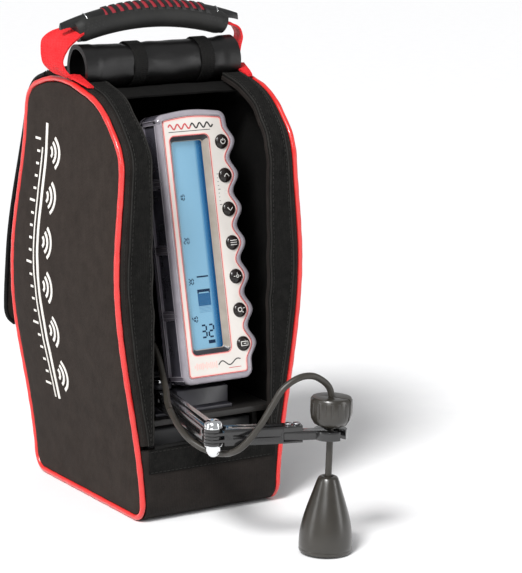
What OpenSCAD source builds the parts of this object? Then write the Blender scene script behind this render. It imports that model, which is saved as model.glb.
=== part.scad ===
// Portable fish finder in a soft carry bag, with a folding transducer arm.
// Millimetres. X to the right, Y to the back, Z up. The origin is on the floor
// under the middle of the bag.

/* [Bag] */
// Widest width, a little above half height
bag_w = 161; // [156:1:166]
// Width at the floor
bag_base_w = 120; // [118:1:124]
// Width near the top
bag_top_w = 150; // [149:1:153]
// Depth from front face to back face
bag_depth = 192; // [190:1:196]
// Height of the highest point of the bag
bag_h = 340; // [339:1:342]
// Thickness of the padded side panels
panel_t = 5; // [4:0.5:5]
// Thickness of the padded strip between the side panels
gusset_t = 5.6; // [5:0.1:6]
// Width of the opening in the front
opening_w = 98; // [96:1:100]
// Height of the lip under the opening
lip_h = 60; // [50:1:64]
// Diameter of the piping cord
piping_d = 5; // [4:0.1:5]
// Width of the hook and loop strip
strip_w = 19; // [15:1:19]

/* [Front cover and rear flap] */
// Outer radius of the rolled front cover
roll_r = 17.5; // [15:0.5:17.5]
// Length of the rolled front cover
roll_len = 137; // [120:1:138]
// Width of the rear flap
flap_w = 146; // [130:1:150]
// Height of the rear flap's lower edge
flap_low = 120; // [100:1:160]
// Thickness of the rear flap
flap_t = 7.3; // [5:0.1:7.5]

/* [Handle] */
// Length of the moulded grip, without its pointed cap
grip_len = 132; // [124:1:134]
// Diameter of the moulded grip
grip_d = 19.4; // [17:0.2:19.4]
// Width of the handle webbing
webbing_w = 26; // [20:1:28]

/* [Display] */
// Width of the face label at its corners
label_w = 52.7; // [52:0.1:53]
// Height of the face label
label_h = 201.1; // [200:0.1:202]
// Margin of the housing around the label
rim = 5; // [4.5:0.1:5]
// Depth of the housing
housing_d = 30; // [28:0.5:30]
// Angle that the display leans back
display_lean = 12; // [10:1:13]
// Diameter of each button
button_d = 12; // [11:0.1:12]
// Distance from button to button
button_pitch = 26.55; // [26:0.05:26.6]
// Travel of each button
button_travel = 1; // [0.8:0.1:1]

/* [Arm] */
// Height of the underside of the arm
arm_z = 86; // [86:0.5:87]
// Height of the arm's section
arm_t = 12.7; // [12.5:0.1:12.7]
// Width of the arm
arm_w = 12; // [10:0.5:12]
// Diameter of the pivot bolts
bolt_d = 5; // [4:0.5:5]

/* [Transducer and cable] */
// Diameter of the transducer's base
cone_d = 40; // [36:1:40]
// Height of the transducer
cone_h = 57; // [52:1:58]
// Lean of the hanging transducer
cone_lean = 2.6; // [0:0.1:3]
// Diameter of the cable stopper
stopper_d = 31.2; // [28:0.1:32]
// Diameter of the cable
cable_d = 5; // [4.5:0.1:5]
// Turns across and down in the stowed coil
coil_rows = 3; // [2:1:3]
// Mean diameter of the stowed coil
coil_d = 56; // [50:1:60]

/* [Hidden] */
$fn = 48;

// Clearances
face_gap = 0.05; // between faces that touch within one body
run_gap = 0.06; // radial, between a bolt and a piece that turns on it

// Bag
front_y = -bag_depth / 2;
back_y = bag_depth / 2;
// Corners of the side outline, front bottom first: [y, z, corner radius]
bag_corners = [
  [front_y, 0, 16], [front_y, bag_h - 50, 40], [front_y + 34, bag_h - 14, 70],
  [10, bag_h + 2.5, 120], [back_y - 30, bag_h - 14, 28], [back_y, 140, 200],
  [back_y - 4, 0, 16]];
widest_z = 195;
top_z = 290;
side_inset = 5.2;
opening_top_y = -24;
roof_front_y = 12;
floor_cut_z = 20;
roof_cut_z = 300;
big = 500;

// Front cover and flap
roll_y = -6;
roll_z = 346;
roll_wall = 5;
tie_w = 12;
tie_x = [-26, 34];
flap_y = 38;
flap_gap = 1.2;

// Handle
handle_axis = [0, 4, 338.6];
grip_y = -1;
grip_mid_z = 382.5;
grip_rise = 10;
grip_arc_r = (grip_len * grip_len / 4 + grip_rise * grip_rise) / (2 * grip_rise);
blade_w = 8;
blade_tip_x = 79.4;
blade_top_z = 394;
blade_tip_z = 380;
blade_t = 6;

// One webbing loop seen from the front, as [x, z]
webbing_outer = [
  [76.5, 338], [86, 343.5], [91.5, 353], [91.5, 364], [85, 373], [76, 376], [67.7, 376]];
webbing_inner = [
  [67.7, 373.6], [75.6, 373.4], [83.6, 370.8], [89, 363], [89, 353.8], [84.6, 345.8],
  [76.5, 340.6]];

// Deck and battery
deck_z = 74;
deck_t = 5;
deck_top = deck_z + deck_t;
battery_size = [94, 151, 65];
leg_size = [5, 20, deck_z - gusset_t];
lug_y = 40;
lead_d = 3;
red_lead_path = [
  [50, 40, 42], [51, 40, 52], [54, 41, 62], [57, 44, 72], [57.3, 51, 82], [56.5, 57, 87],
  [54.7, 58, 88]];
black_lead_path = [
  [50, -40, 42], [52, -32, 52], [55, -10, 63], [57, 14, 72], [57.3, 32, 82],
  [57, 44, 87], [54.7, 48, 88]];
box_pos = [28, 42, deck_top];
box_size = [26, 36, 24];
gland_z = 18; // above the box's underside, level with the top of the coil

// Display, in its own frame: u right, v up the face, w out of the face
display_pos = [-15.5, -88, 108.5];
label_t = 0.6;
wall = 2.5;
front_wall = 2.4;
cover_t = 3.2;
gasket_t = 0.8;
seam_w = -(housing_d - cover_t - gasket_t);
scallop_mid = 56;
scallop_depth = 3;
first_button_v = 22;
button_u = 51;
window_lo = [5.2, 17.5];
window_hi = [39.7, 188.1];
window_slope = 4;
window_depth = 5;
board_w = -16.6;
board_t = 1.6;
switch_h = 5.7;
switch_top_w = board_w + board_t + face_gap + switch_h;
screw_at = [[1.2, 2.8], [1.2, label_h - 2.8], [label_w - 3.2, 2.8], [label_w - 3.2, label_h - 2.8]];
bay_count = 4;
bay_pitch = 51.5;
bay_h = 46;
bay_depth = 1.2;
socket_at = [29, 45];
plug_w = -34.1;
plug_end_w = -58;

// Tilt pivot of the display
tilt_axis = [0, -44, 97];
tilt_bolt_d = 6;
lug_r = 7;
ear_r = 9;
ear_t = 4.4;
lug_t = 5;
ear_gap = 0.4;
left_ear_x = -16.5;
right_ear_x = 23.1;
knob_r = 9.5;
knob_t = 10.6;

// Arm: plan positions of the base pivot, the elbow and the fork
base_pivot = [-30, -66];
elbow = [-54, -190.5];
cone_foot = [23, -223.2, 0.95];
axis_dir = [sin(cone_lean), 0, cos(cone_lean)];
fork_z = 91;
fork_at = [cone_foot[0] + axis_dir[0] * fork_z, cone_foot[1]];
inner_len = norm(elbow - base_pivot);
outer_len = norm(fork_at - elbow);
inner_turn = atan2(elbow[1] - base_pivot[1], elbow[0] - base_pivot[0]);
outer_turn = atan2(fork_at[1] - elbow[1], fork_at[0] - elbow[0]);
bolt_r = bolt_d / 2;
knuckle_r = 7;
base_knuckle_r = 8;
finger_pitch = arm_t / 5;
finger_gap = 0.3;
slot_r = knuckle_r + 2.6;
fork_r = 12.5;
fork_t = 6.8;
fork_mouth = 6;
fork_mouth_turn = -50;
fork_low = 1.6; // underside of the fork plate above the arm's underside
tongue_x = 52;
outer_body_x = 66;
screw_r = 1.5;

// Transducer and stopper, measured along the leaning axis from the foot
ring_r = 7.3;
crystal_r = 13.9;
crystal_t = 5;
stopper_low = 95.3;
stopper_top = 117.8;
gland_h = 1.6;

// Cable: every route is a list of points in millimetres
cable_r = cable_d / 2;
coil_at = [-14, 38];
coil_h = coil_rows * cable_d;
lead_path = [
  [13.5, -21.9, 140.5], [13.5, -12, 138.5], [15, -2, 133], [18, 6, 123], [23, 12, 110],
  [29, 20, 99], [34, 31, 92], [36, 41, 89.5]];
entry_path = [
  [-47, 19, 82], [-47, 6, 84], [-45, -8, 91], [-41, -20, 103], [-37, -31, 118],
  [-34, -40, 130], [-32, -50, 135], [-32, -60, 132], [-33, -70, 124], [-36, -82, 113],
  [-41, -96, 105], [-47, -109, 99], [-51, -120, 96]];
sweep_path = [
  [-51.2, -120.6, 95.8], [-55, -140, 89], [-57, -158, 84], [-53, -170, 79], [-46, -180, 76],
  [-42, -189, 77], [-43, -198, 80], [-41, -207, 85], [-35, -212, 93], [-28, -216, 104],
  [-20, -218, 117]];
arc_path = [
  [-19.7, -218.1, 117.5], [-12, -220, 129], [0, -222, 136], [11, -223, 136.5], [20, -223, 132],
  [26, -223, 126], [28.4, -223.2, 118.7]];
clip_at = [-32, -50];
clip_z = 135;

// ---- Helpers ----

function unit(v) = v / norm(v);
function right_of(v) = [v[1], -v[0]];
function lerp(a, b, t) = a + (b - a) * t;
function ease(t) = let (c = min(max(t, 0), 1)) c * c * (3 - 2 * c);

// Corner list moved inwards by d, for outlines that run clockwise
function inset_corners(c, d) = [
  for (i = [0 : len(c) - 1])
    let (n = len(c), p = [c[i][0], c[i][1]],
         before = [c[(i + n - 1) % n][0], c[(i + n - 1) % n][1]],
         after = [c[(i + 1) % n][0], c[(i + 1) % n][1]],
         n1 = right_of(unit(p - before)), n2 = right_of(unit(after - p)),
         q = p + d * (n1 + n2) / (1 + n1 * n2))
      [q[0], q[1], c[i][2] - d]];

// Points of a corner list with every corner rounded
function rounded(c, steps = 6) = [
  for (i = [0 : len(c) - 1])
    let (n = len(c), p = [c[i][0], c[i][1]], r = c[i][2],
         before = [c[(i + n - 1) % n][0], c[(i + n - 1) % n][1]],
         after = [c[(i + 1) % n][0], c[(i + 1) % n][1]],
         din = unit(p - before), dout = unit(after - p),
         turn = acos(din * dout),
         start = p - din * r * tan(turn / 2),
         centre = start + right_of(din) * r,
         a0 = atan2(start[1] - centre[1], start[0] - centre[0]))
      for (k = [0 : steps])
        let (a = a0 - turn * k / steps) centre + r * [cos(a), sin(a)]];

function bag_outline(d = 0) = rounded(inset_corners(bag_corners, d));

// A closed outline with extra points, so that no side is longer than step
function divided(p, step) = [
  for (i = [0 : len(p) - 1])
    let (a = p[i], b = p[(i + 1) % len(p)], n = ceil(norm(b - a) / step))
      for (k = [0 : max(n, 1) - 1]) a + (b - a) * k / max(n, 1)];

// Half width of the bag at height z
function half_w(z) =
  z < widest_z
    ? lerp(bag_base_w / 2, bag_w / 2, ease(z / widest_z))
    : lerp(bag_w / 2, bag_top_w / 2, ease((z - widest_z) / (top_z - widest_z)));

// Smooth points through p, with extra points between each two
function between(a, b, c, d, t) =
  0.5 * (2 * b + (c - a) * t + (2 * a - 5 * b + 4 * c - d) * t * t
         + (3 * b - a - 3 * c + d) * t * t * t);
function smooth_path(p, extra = 1) = [
  for (i = [0 : len(p) - 2])
    for (k = [0 : extra])
      between(p[max(i - 1, 0)], p[i], p[i + 1], p[min(i + 2, len(p) - 1)], k / (extra + 1)),
  p[len(p) - 1]];

// Side directions along a path, each turned as little as possible from the last
function tangent(p, i) = unit(p[min(i + 1, len(p) - 1)] - p[max(i - 1, 0)]);
function sideways(p, i, last) =
  let (t = tangent(p, i), n = unit(last - (last * t) * t))
    i == len(p) - 1 ? [n] : concat([n], sideways(p, i + 1, n));

module tube(p, r, sides = 8, first = [0.2, 0.9, 0.1]) {
  n = sideways(p, 0, first);
  points = [
    for (i = [0 : len(p) - 1])
      let (b = cross(tangent(p, i), n[i]))
        for (k = [0 : sides - 1]) p[i] + r * (cos(360 * k / sides) * n[i] + sin(360 * k / sides) * b)];
  last = (len(p) - 1) * sides;
  faces = concat(
    [[for (k = [0 : sides - 1]) k]],
    [for (i = [0 : len(p) - 2]) for (k = [0 : sides - 1])
      let (a = i * sides + k, b = i * sides + (k + 1) % sides) [a, a + sides, b + sides, b]],
    [[for (k = [sides - 1 : -1 : 0]) last + k]]);
  polyhedron(points, faces, convexity = 4);
}

module closed_tube(p, r, sides = 8) {
  count = len(p);
  points = [
    for (i = [0 : count - 1])
      let (t = unit(p[(i + 1) % count] - p[(i + count - 1) % count]),
           n = unit(cross(t, [1, 0, 0])), b = cross(t, n))
        for (k = [0 : sides - 1]) p[i] + r * (cos(360 * k / sides) * n + sin(360 * k / sides) * b)];
  faces = [
    for (i = [0 : count - 1]) for (k = [0 : sides - 1])
      let (j = (i + 1) % count)
        [i * sides + k, j * sides + k, j * sides + (k + 1) % sides, i * sides + (k + 1) % sides]];
  polyhedron(points, faces, convexity = 6);
}

// Extrudes an outline given as [y, z] along X, from x0 to x1
module along_x(x0, x1) {
  translate([x0, 0, 0]) rotate([90, 0, 90]) linear_extrude(x1 - x0) children();
}

// Extrudes an outline given as [x, z] along Y, from y0 to y1
module along_y(y0, y1) {
  translate([0, y1, 0]) rotate([90, 0, 0]) linear_extrude(y1 - y0) children();
}

module box(lo, hi) {
  translate(lo) cube(hi - lo);
}

module rod_x(x0, x1, r) {
  translate([x0, 0, 0]) rotate([0, 90, 0]) cylinder(r = r, h = x1 - x0);
}

// Band between two lines at distances a and b inside the bag's half width
module width_band(a, b, z0 = -20, z1 = 360, step = 20) {
  zs = [for (z = [z0 : step : z1]) z];
  polygon(concat(
    [for (z = zs) [half_w(z) - b, z]],
    [for (i = [len(zs) - 1 : -1 : 0]) [half_w(zs[i]) - a, zs[i]]]));
}

module width_fill(a) {
  zs = [for (z = [-20 : 20 : 360]) z];
  polygon(concat(
    [for (z = zs) [half_w(z) - a, z]],
    [for (i = [len(zs) - 1 : -1 : 0]) [-half_w(zs[i]) + a, zs[i]]]));
}

// ---- Bag ----

module side_panel() {
  intersection() {
    along_x(0, big) polygon(bag_outline(side_inset));
    along_y(-big, big) width_band(0, panel_t);
  }
}

module bag_left_panel() {
  color("#2b2421") mirror([1, 0, 0]) side_panel();
}

module bag_right_panel() {
  color("#2b2421") side_panel();
}

// The padded strip that runs round the bag between its side panels
module gusset(lo, hi) {
  intersection() {
    along_x(-big, big) difference() {
      polygon(bag_outline());
      polygon(bag_outline(gusset_t));
    }
    along_y(-big, big) width_fill(panel_t + face_gap);
    box(lo, hi);
  }
}

module bag_bottom_panel() {
  color("#1c1b1b") gusset([-big, -big, -1], [big, big, floor_cut_z]);
}

module bag_back_panel() {
  color("#1c1b1b") gusset([-big, 20, floor_cut_z], [big, big, roof_cut_z]);
}

module bag_top_panel() {
  color("#1c1b1b") gusset([-big, roof_front_y, roof_cut_z], [big, big, big]);
}

module bag_front_lower_panel() {
  color("#1c1b1b") gusset([-big, -big, floor_cut_z], [big, -20, lip_h]);
}

module bag_front_left_strip() {
  color("#1c1b1b") gusset([-big, -big, lip_h], [-opening_w / 2, opening_top_y, big]);
}

module bag_front_right_strip() {
  color("#1c1b1b") gusset([opening_w / 2, -big, lip_h], [big, opening_top_y, big]);
}

module side_pipings() {
  path = [
    for (p = divided(bag_outline(piping_d / 2 + 0.1), 20)) [half_w(p[1]) - panel_t / 2, p[0], p[1]]];
  color("#e1322d") for (side = [0, 1]) mirror([side, 0, 0]) closed_tube(path, piping_d / 2 - 0.25);
}

module hook_and_loop_strips() {
  skin = 1.3;
  color("#101010") {
    intersection() {
      along_x(-big, big) difference() {
        polygon(bag_outline(-skin));
        polygon(bag_outline());
      }
      along_y(-big, opening_top_y) difference() {
        width_fill(11);
        translate([-opening_w / 2, 0]) square([opening_w, big]);
      }
      box([-big, -big, lip_h + 0.5], [big, opening_top_y, big]);
    }
    box([-half_w(lip_h - strip_w) + 9, front_y - skin, lip_h - strip_w - 1],
        [half_w(lip_h - strip_w) - 9, front_y, lip_h - 1]);
  }
}

// ---- Front cover, flap and handle ----

module rolled_front_cover() {
  color("#141414") translate([1 - roll_len / 2, roll_y, roll_z]) rotate([0, 90, 0])
    difference() {
      cylinder(r = roll_r, h = roll_len);
      translate([0, 0, -1]) cylinder(r = roll_r - roll_wall, h = roll_len + 2);
    }
}

module roll_ties() {
  color("#0c0c0c") for (x = tie_x) translate([x, roll_y, roll_z]) rotate([0, 90, 0])
    difference() {
      cylinder(r = roll_r + 0.9, h = tie_w);
      translate([0, 0, -1]) cylinder(r = roll_r + face_gap, h = tie_w + 2);
    }
}

module rear_flap() {
  color("#171616") intersection() {
    along_x(-flap_w / 2, flap_w / 2) difference() {
      polygon(bag_outline(-flap_gap - flap_t));
      polygon(bag_outline(-flap_gap));
    }
    box([-big, flap_y, flap_low], [big, big, big]);
  }
}

function blade_z(x) = blade_top_z - (blade_top_z - blade_tip_z) * pow(x / blade_tip_x, 2);

module handle_grip() {
  sweep = 2 * asin(grip_len / 2 / grip_arc_r);
  xs = [for (i = [-8 : 8]) i / 8 * blade_tip_x];
  color("#343434") union() {
    translate([0, grip_y, grip_mid_z - grip_arc_r]) rotate([90, 0, 0]) rotate(90 - sweep / 2)
      rotate_extrude(angle = sweep, $fn = 96) translate([grip_arc_r, 0]) circle(d = grip_d, $fn = 32);
    along_y(grip_y - blade_w / 2, grip_y + blade_w / 2) polygon(concat(
      [for (x = xs) [x, blade_z(x)]],
      [for (i = [len(xs) - 2 : -1 : 1]) [xs[i], blade_z(xs[i]) - blade_t]]));
  }
}

module handle_webbing() {
  color("#d8262b") for (side = [0, 1]) mirror([side, 0, 0])
    along_y(handle_axis[1] - webbing_w / 2, handle_axis[1] + webbing_w / 2)
      polygon(concat(webbing_outer, webbing_inner));
}

// ---- Deck, battery and brackets ----

module deck_tray() {
  color("#57504a") difference() {
    union() {
      box([-60, front_y + 10, deck_z], [60, back_y - 9, deck_top]);
      for (sx = [-1, 1], sy = [-1, 1])
        translate([sx * 51.5 - leg_size[0] / 2, sy * 64 - leg_size[1] / 2, gusset_t + face_gap])
          cube(leg_size - [0, 0, face_gap]);
    }
    box([54.5, 6, deck_z - 1], [61, 58, deck_top + 1]);
    translate([coil_at[0] + coil_d / 2, coil_at[1], deck_top]) cube([coil_h + 4, 8, 20], center = true);
  }
}

module battery() {
  s = battery_size;
  color("#3a3a3c") translate([0, 0, gusset_t + face_gap])
    linear_extrude(s[2] - 2) polygon(rounded([
      [-s[0] / 2, -s[1] / 2, 3], [-s[0] / 2, s[1] / 2, 3], [s[0] / 2, s[1] / 2, 3],
      [s[0] / 2, -s[1] / 2, 3]], 3));
}

module battery_leads() {
  color("#c02020") {
    for (y = [-lug_y, lug_y]) box([47 + face_gap, y - 3, 34], [52, y + 3, 42]);
    tube(smooth_path(red_lead_path, 0), lead_d / 2);
  }
  color("#181818") tube(smooth_path(black_lead_path, 0), lead_d / 2);
}

module junction_box() {
  color("#26262a") translate(box_pos) {
    linear_extrude(box_size[2]) polygon(rounded([
      [0, 0, 3], [0, box_size[1], 3], [box_size[0], box_size[1], 3], [box_size[0], 0, 3]], 3));
    translate([-5, box_size[1] - 7, gland_z]) rotate([0, 90, 0]) cylinder(r = 4, h = 8);
  }
}

module tilt_bracket() {
  ears = [left_ear_x, right_ear_x];
  color("#2c2c30") difference() {
    union() {
      box([left_ear_x, tilt_axis[1] - 10, deck_top], [right_ear_x + ear_t, tilt_axis[1] + 10, deck_top + 4]);
      for (x = ears) hull() {
        translate([x, tilt_axis[1], tilt_axis[2]]) rod_x(0, ear_t, ear_r);
        box([x, tilt_axis[1] - 10, deck_top + 2], [x + ear_t, tilt_axis[1] + 10, deck_top + 4]);
      }
    }
    translate([0, tilt_axis[1], tilt_axis[2]]) rod_x(-60, 60, tilt_bolt_d / 2 + run_gap);
  }
}

module cable_clip() {
  color("#1f1f20") difference() {
    union() {
      box([clip_at[0] - 2.5, clip_at[1] - 3, deck_top], [clip_at[0] + 2.5, clip_at[1] + 3, clip_z - 5]);
      box([clip_at[0] - 6, clip_at[1] - 1.5, deck_top], [clip_at[0] + 6, clip_at[1] + 12, deck_top + 3]);
      translate([clip_at[0], clip_at[1] + 3, clip_z]) rotate([90, 0, 0]) cylinder(r = 6, h = 6);
    }
    translate([clip_at[0], clip_at[1] + 5, clip_z]) rotate([90, 0, 0]) cylinder(r = 4, h = 10);
  }
}

module arm_base_mount() {
  x = base_pivot[0];
  y = base_pivot[1];
  low = arm_z - 0.4;
  high = arm_z + arm_t + 0.4;
  color("#4a4a50") difference() {
    union() {
      box([x - 11, y - 13, deck_top], [28, y + 9, deck_top + 3]);
      box([-18, y - 6, deck_top], [28, y + 6, 95.5]);
      for (z = [[deck_top, low], [high, high + 3.6]]) {
        translate([x, y, z[0]]) cylinder(r = 9, h = z[1] - z[0]);
        box([x - 9, y, z[0]], [x + 9, y + 12, z[1]]);
      }
      box([x - 9, y + 9.4, deck_top], [x + 9, y + 12, high + 3.6]);
    }
    translate([x, y, deck_top + 1]) cylinder(r = bolt_r + face_gap, h = 40);
  }
}

module arm_base_bolt() {
  head_z = arm_z + arm_t + 4;
  color("#b9bcc0") translate([base_pivot[0], base_pivot[1], 0]) {
    translate([0, 0, deck_top + 1 + face_gap]) cylinder(r = bolt_r, h = head_z - deck_top);
    translate([0, 0, head_z + face_gap]) cylinder(r = 5.5, h = 3.4);
  }
}

// ---- Display ----

module display_place() {
  translate(display_pos) rotate([90 - display_lean, 0, 0]) children();
}

// Outline of the face, grown by g: round corners, a crowned top and a scalloped right side
function arc(c, r, a0, a1, steps = 5) = [
  for (k = [0 : steps]) let (a = a0 + (a1 - a0) * k / steps) c + r * [cos(a), sin(a)]];
function face_outline(g) =
  let (r = 2.5, crown = 2.2, lo_v = first_button_v - button_pitch / 2,
       hi_v = first_button_v + 6.5 * button_pitch)
    concat(
      arc([r, r], r + g, 180, 270), arc([label_w - r, r], r + g, 270, 360),
      [for (k = [0 : 56]) let (v = lo_v + (hi_v - lo_v) * k / 56)
        [scallop_mid + g - scallop_depth * cos(360 * k / 8), v]],
      arc([label_w - r, label_h - r], r + g, 0, 80),
      [for (k = [1 : 7]) let (u = lerp(label_w - r, r, k / 8))
        [u, label_h + g + crown * sin(180 * k / 8)]],
      arc([r, label_h - r], r + g, 100, 180));

// Extrudes a face outline from depth w0 out to w1
module face_slab(g, w0, w1) {
  translate([0, 0, w0]) linear_extrude(w1 - w0) polygon(face_outline(g));
}

module window_cut(lo, hi, slope, w0, w1) {
  corners = function (d) rounded([
    [lo[0] + d, lo[1] + d, 4 - d / 2], [lo[0] + d, hi[1] - d, 4 - d / 2],
    [hi[0] - d, hi[1] - d, 4 - d / 2], [hi[0] - d, lo[1] + d, 4 - d / 2]], 4);
  hull() {
    translate([0, 0, w1]) linear_extrude(0.1) polygon(corners(0));
    translate([0, 0, w0]) linear_extrude(0.1) polygon(corners(slope));
  }
}

function button_v(i) = first_button_v + (i - 1) * button_pitch;

module display_front_shell() {
  color("#96919b") display_place() difference() {
    union() {
      difference() {
        face_slab(rim, seam_w, 0.6);
        face_slab(wall, seam_w - 1, -label_t - front_wall);
      }
      translate([3, 15.3, -window_depth - face_gap]) cube([39, 175, window_depth - 2]);
      for (p = screw_at) translate([p[0], p[1], seam_w]) cylinder(r = 2.9, h = -seam_w - 2);
    }
    face_slab(0.2, -label_t, 2);
    window_cut(window_lo, window_hi, window_slope, -window_depth - 0.2, -label_t);
    for (i = [1 : 7]) translate([button_u, button_v(i), -8]) cylinder(d = button_d + 0.6, h = 12);
    for (p = screw_at) translate([p[0], p[1], seam_w - 1]) cylinder(r = 1.2, h = 12);
    for (k = [0 : bay_count - 1])
      translate([-rim - 1, 1 + k * bay_pitch, seam_w + 4]) cube([1 + bay_depth, bay_h, 18]);
  }
}

module display_gasket() {
  color("#202020") display_place() difference() {
    face_slab(rim - 0.3, seam_w - gasket_t + face_gap, seam_w - face_gap);
    face_slab(wall + 0.3, seam_w - 3, seam_w + 1);
  }
}

module display_rear_cover() {
  low_w = -housing_d;
  back = tilt_axis[1] - display_pos[1];
  down = tilt_axis[2] - display_pos[2];
  pivot = [
    0, back * sin(display_lean) + down * cos(display_lean),
    down * sin(display_lean) - back * cos(display_lean)];
  lugs = [left_ear_x + ear_t + ear_gap - display_pos[0], right_ear_x - ear_gap - lug_t - display_pos[0]];
  color("#8d8892") display_place() difference() {
    union() {
      face_slab(rim, low_w, low_w + cover_t);
      for (x = lugs) hull() {
        translate([x, pivot[1], pivot[2]]) rod_x(0, lug_t, lug_r);
        translate([x, pivot[1], low_w]) cube([lug_t, 18, 1]);
      }
      for (u = [12, 48], v = [14, 186]) translate([u, v, low_w + cover_t]) cylinder(r = 3, h = 10.15);
    }
    translate([0, pivot[1], pivot[2]]) rod_x(-20, 70, tilt_bolt_d / 2 + run_gap);
    for (p = screw_at) translate([p[0], p[1], low_w - 1]) {
      cylinder(r = 1.5, h = 8);
      cylinder(r = 2.6, h = 2.6);
    }
    translate([socket_at[0], socket_at[1], low_w - 1]) cylinder(r = 6.1, h = 8);
  }
}

module face_label() {
  color("#ece6de") display_place() difference() {
    face_slab(0, -label_t + face_gap, 0);
    window_cut(window_lo, window_hi, 0, -2, 1);
    for (i = [1 : 7]) translate([button_u, button_v(i), -2]) cylinder(d = button_d + 1, h = 4);
  }
}

module display_layer(w0, w1, inset) {
  translate([4 + inset, 16 + inset, w0]) cube([37 - 2 * inset, 173.6 - 2 * inset, w1 - w0]);
}

module window_lens() {
  color("#c8d4dc") display_place() display_layer(-6.3, -5.15, 0);
}

module lcd_panel() {
  color("#87afd2") display_place() display_layer(-8.4, -6.4, 0.5);
}

module backlight_panel() {
  color("#dfe6ea") display_place() display_layer(-11.4, -8.5, 0.5);
}

module circuit_board() {
  color("#1f5a34") display_place() translate([6, 8, board_w]) cube([48.5, 185, board_t]);
}

module key_switches() {
  color("#1a1a1a") display_place() for (i = [1 : 7])
    translate([button_u, button_v(i), board_w + board_t + face_gap]) {
      translate([-3, -3, 0]) cube([6, 6, switch_h - 1.6]);
      cylinder(r = 1.7, h = switch_h);
    }
}

module button(i) {
  flange_w = -label_t - front_wall - 0.35;
  stem_w = switch_top_w + button_travel + 0.2;
  color("#15100f") display_place() translate([button_u, button_v(i), 0])
    rotate_extrude() polygon([
      [0, stem_w], [2, stem_w], [2, flange_w - 1.1], [button_d / 2 + 1.2, flange_w - 1.1],
      [button_d / 2 + 1.2, flange_w], [button_d / 2, flange_w], [button_d / 2, 1.2],
      [button_d / 2 - 0.5, 1.8], [button_d / 2 - 2, 2.3], [0, 2.6]]);
}

module button_1() { button(1); }
module button_2() { button(2); }
module button_3() { button(3); }
module button_4() { button(4); }
module button_5() { button(5); }
module button_6() { button(6); }
module button_7() { button(7); }

module housing_screws() {
  color("#9a9a9a") display_place() for (p = screw_at) translate([p[0], p[1], -housing_d]) {
    translate([0, 0, -0.2]) cylinder(r = 2.4, h = 1.7);
    cylinder(r = 1.1, h = 13);
  }
}

module display_socket() {
  color("#232325") display_place() translate([socket_at[0], socket_at[1], 0]) {
    translate([0, 0, plug_w + 0.1]) cylinder(r = 6, h = 9);
    translate([0, 0, -housing_d - 2]) cylinder(r = 8.5, h = 2 - face_gap);
  }
}

module lead_plug() {
  color("#19191a") display_place() translate([socket_at[0], socket_at[1], 0])
    rotate_extrude() polygon([
      [0, plug_w], [7, plug_w], [7, plug_w - 10], [5, plug_w - 12], [3.4, plug_end_w], [0, plug_end_w]]);
}

module tilt_knob() {
  color("#1c1c1d") translate([left_ear_x - 0.4 - knob_t, tilt_axis[1], tilt_axis[2]]) difference() {
    rod_x(0, knob_t, knob_r);
    for (k = [0 : 15]) rotate([k * 22.5, 0, 0]) translate([0, knob_r + 0.6, 0]) rod_x(-1, knob_t - 2, 1.4);
    rod_x(2, knob_t + 1, tilt_bolt_d / 2 + face_gap);
  }
}

module tilt_bolt() {
  color("#b0b3b6") translate([0, tilt_axis[1], tilt_axis[2]])
    rod_x(left_ear_x - knob_t + 2, right_ear_x + ear_t + 4, tilt_bolt_d / 2);
}

// ---- Arm ----

// Puts a link's own frame, X along the link, at a plan position
module link_place(at, turn) {
  translate([at[0], at[1], arm_z]) rotate(turn) children();
}

// Empties the space round a knuckle at the levels of the other link's fingers
module finger_slots(levels, r) {
  for (k = levels)
    translate([0, 0, k * finger_pitch - finger_gap / 2]) cylinder(r = r, h = finger_pitch + finger_gap);
}

module side_grooves(x0, x1) {
  for (side = [-1, 1])
    translate([x0, side * arm_w / 2 - 1.2, arm_t * 0.4]) cube([x1 - x0, 2.4, arm_t * 0.22]);
  translate([x0, -1.6, arm_t - 1]) cube([x1 - x0, 3.2, 2]);
}

module arm_inner_link() {
  color("#111111") link_place(base_pivot, inner_turn) difference() {
    union() {
      cylinder(r = base_knuckle_r, h = arm_t);
      translate([0, -arm_w / 2, 0]) cube([inner_len, arm_w, arm_t]);
      translate([inner_len, 0, 0]) cylinder(r = knuckle_r, h = arm_t);
    }
    translate([inner_len, 0, 0]) {
      finger_slots([1, 3], slot_r);
      translate([0, 0, -1]) cylinder(r = bolt_r + face_gap, h = arm_t + 2);
    }
    translate([0, 0, -1]) cylinder(r = bolt_r + run_gap, h = arm_t + 2);
    side_grooves(14, inner_len - 14);
  }
}

module arm_outer_link() {
  tip = outer_body_x;
  color("#111111") link_place(elbow, outer_turn) difference() {
    union() {
      cylinder(r = knuckle_r, h = arm_t);
      linear_extrude(arm_t) polygon([
        [0, -arm_w / 2], [tip - 14, -arm_w / 2], [tip, -4.6], [tip, 4.6], [tip - 14, arm_w / 2],
        [0, arm_w / 2]]);
    }
    finger_slots([0, 2, 4], slot_r);
    translate([0, 0, -1]) cylinder(r = bolt_r + run_gap, h = arm_t + 2);
    side_grooves(14, tip - 16);
    box([tongue_x - 0.5, -10, fork_low - 0.1], [tip + 1, 10, fork_low + fork_t + 0.1]);
    translate([tip - 4, 0, -1]) cylinder(r = screw_r + face_gap, h = arm_t + 2);
    translate([tip - 10, 0, -1]) cylinder(r = screw_r + face_gap, h = arm_t + 2);
  }
}

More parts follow.
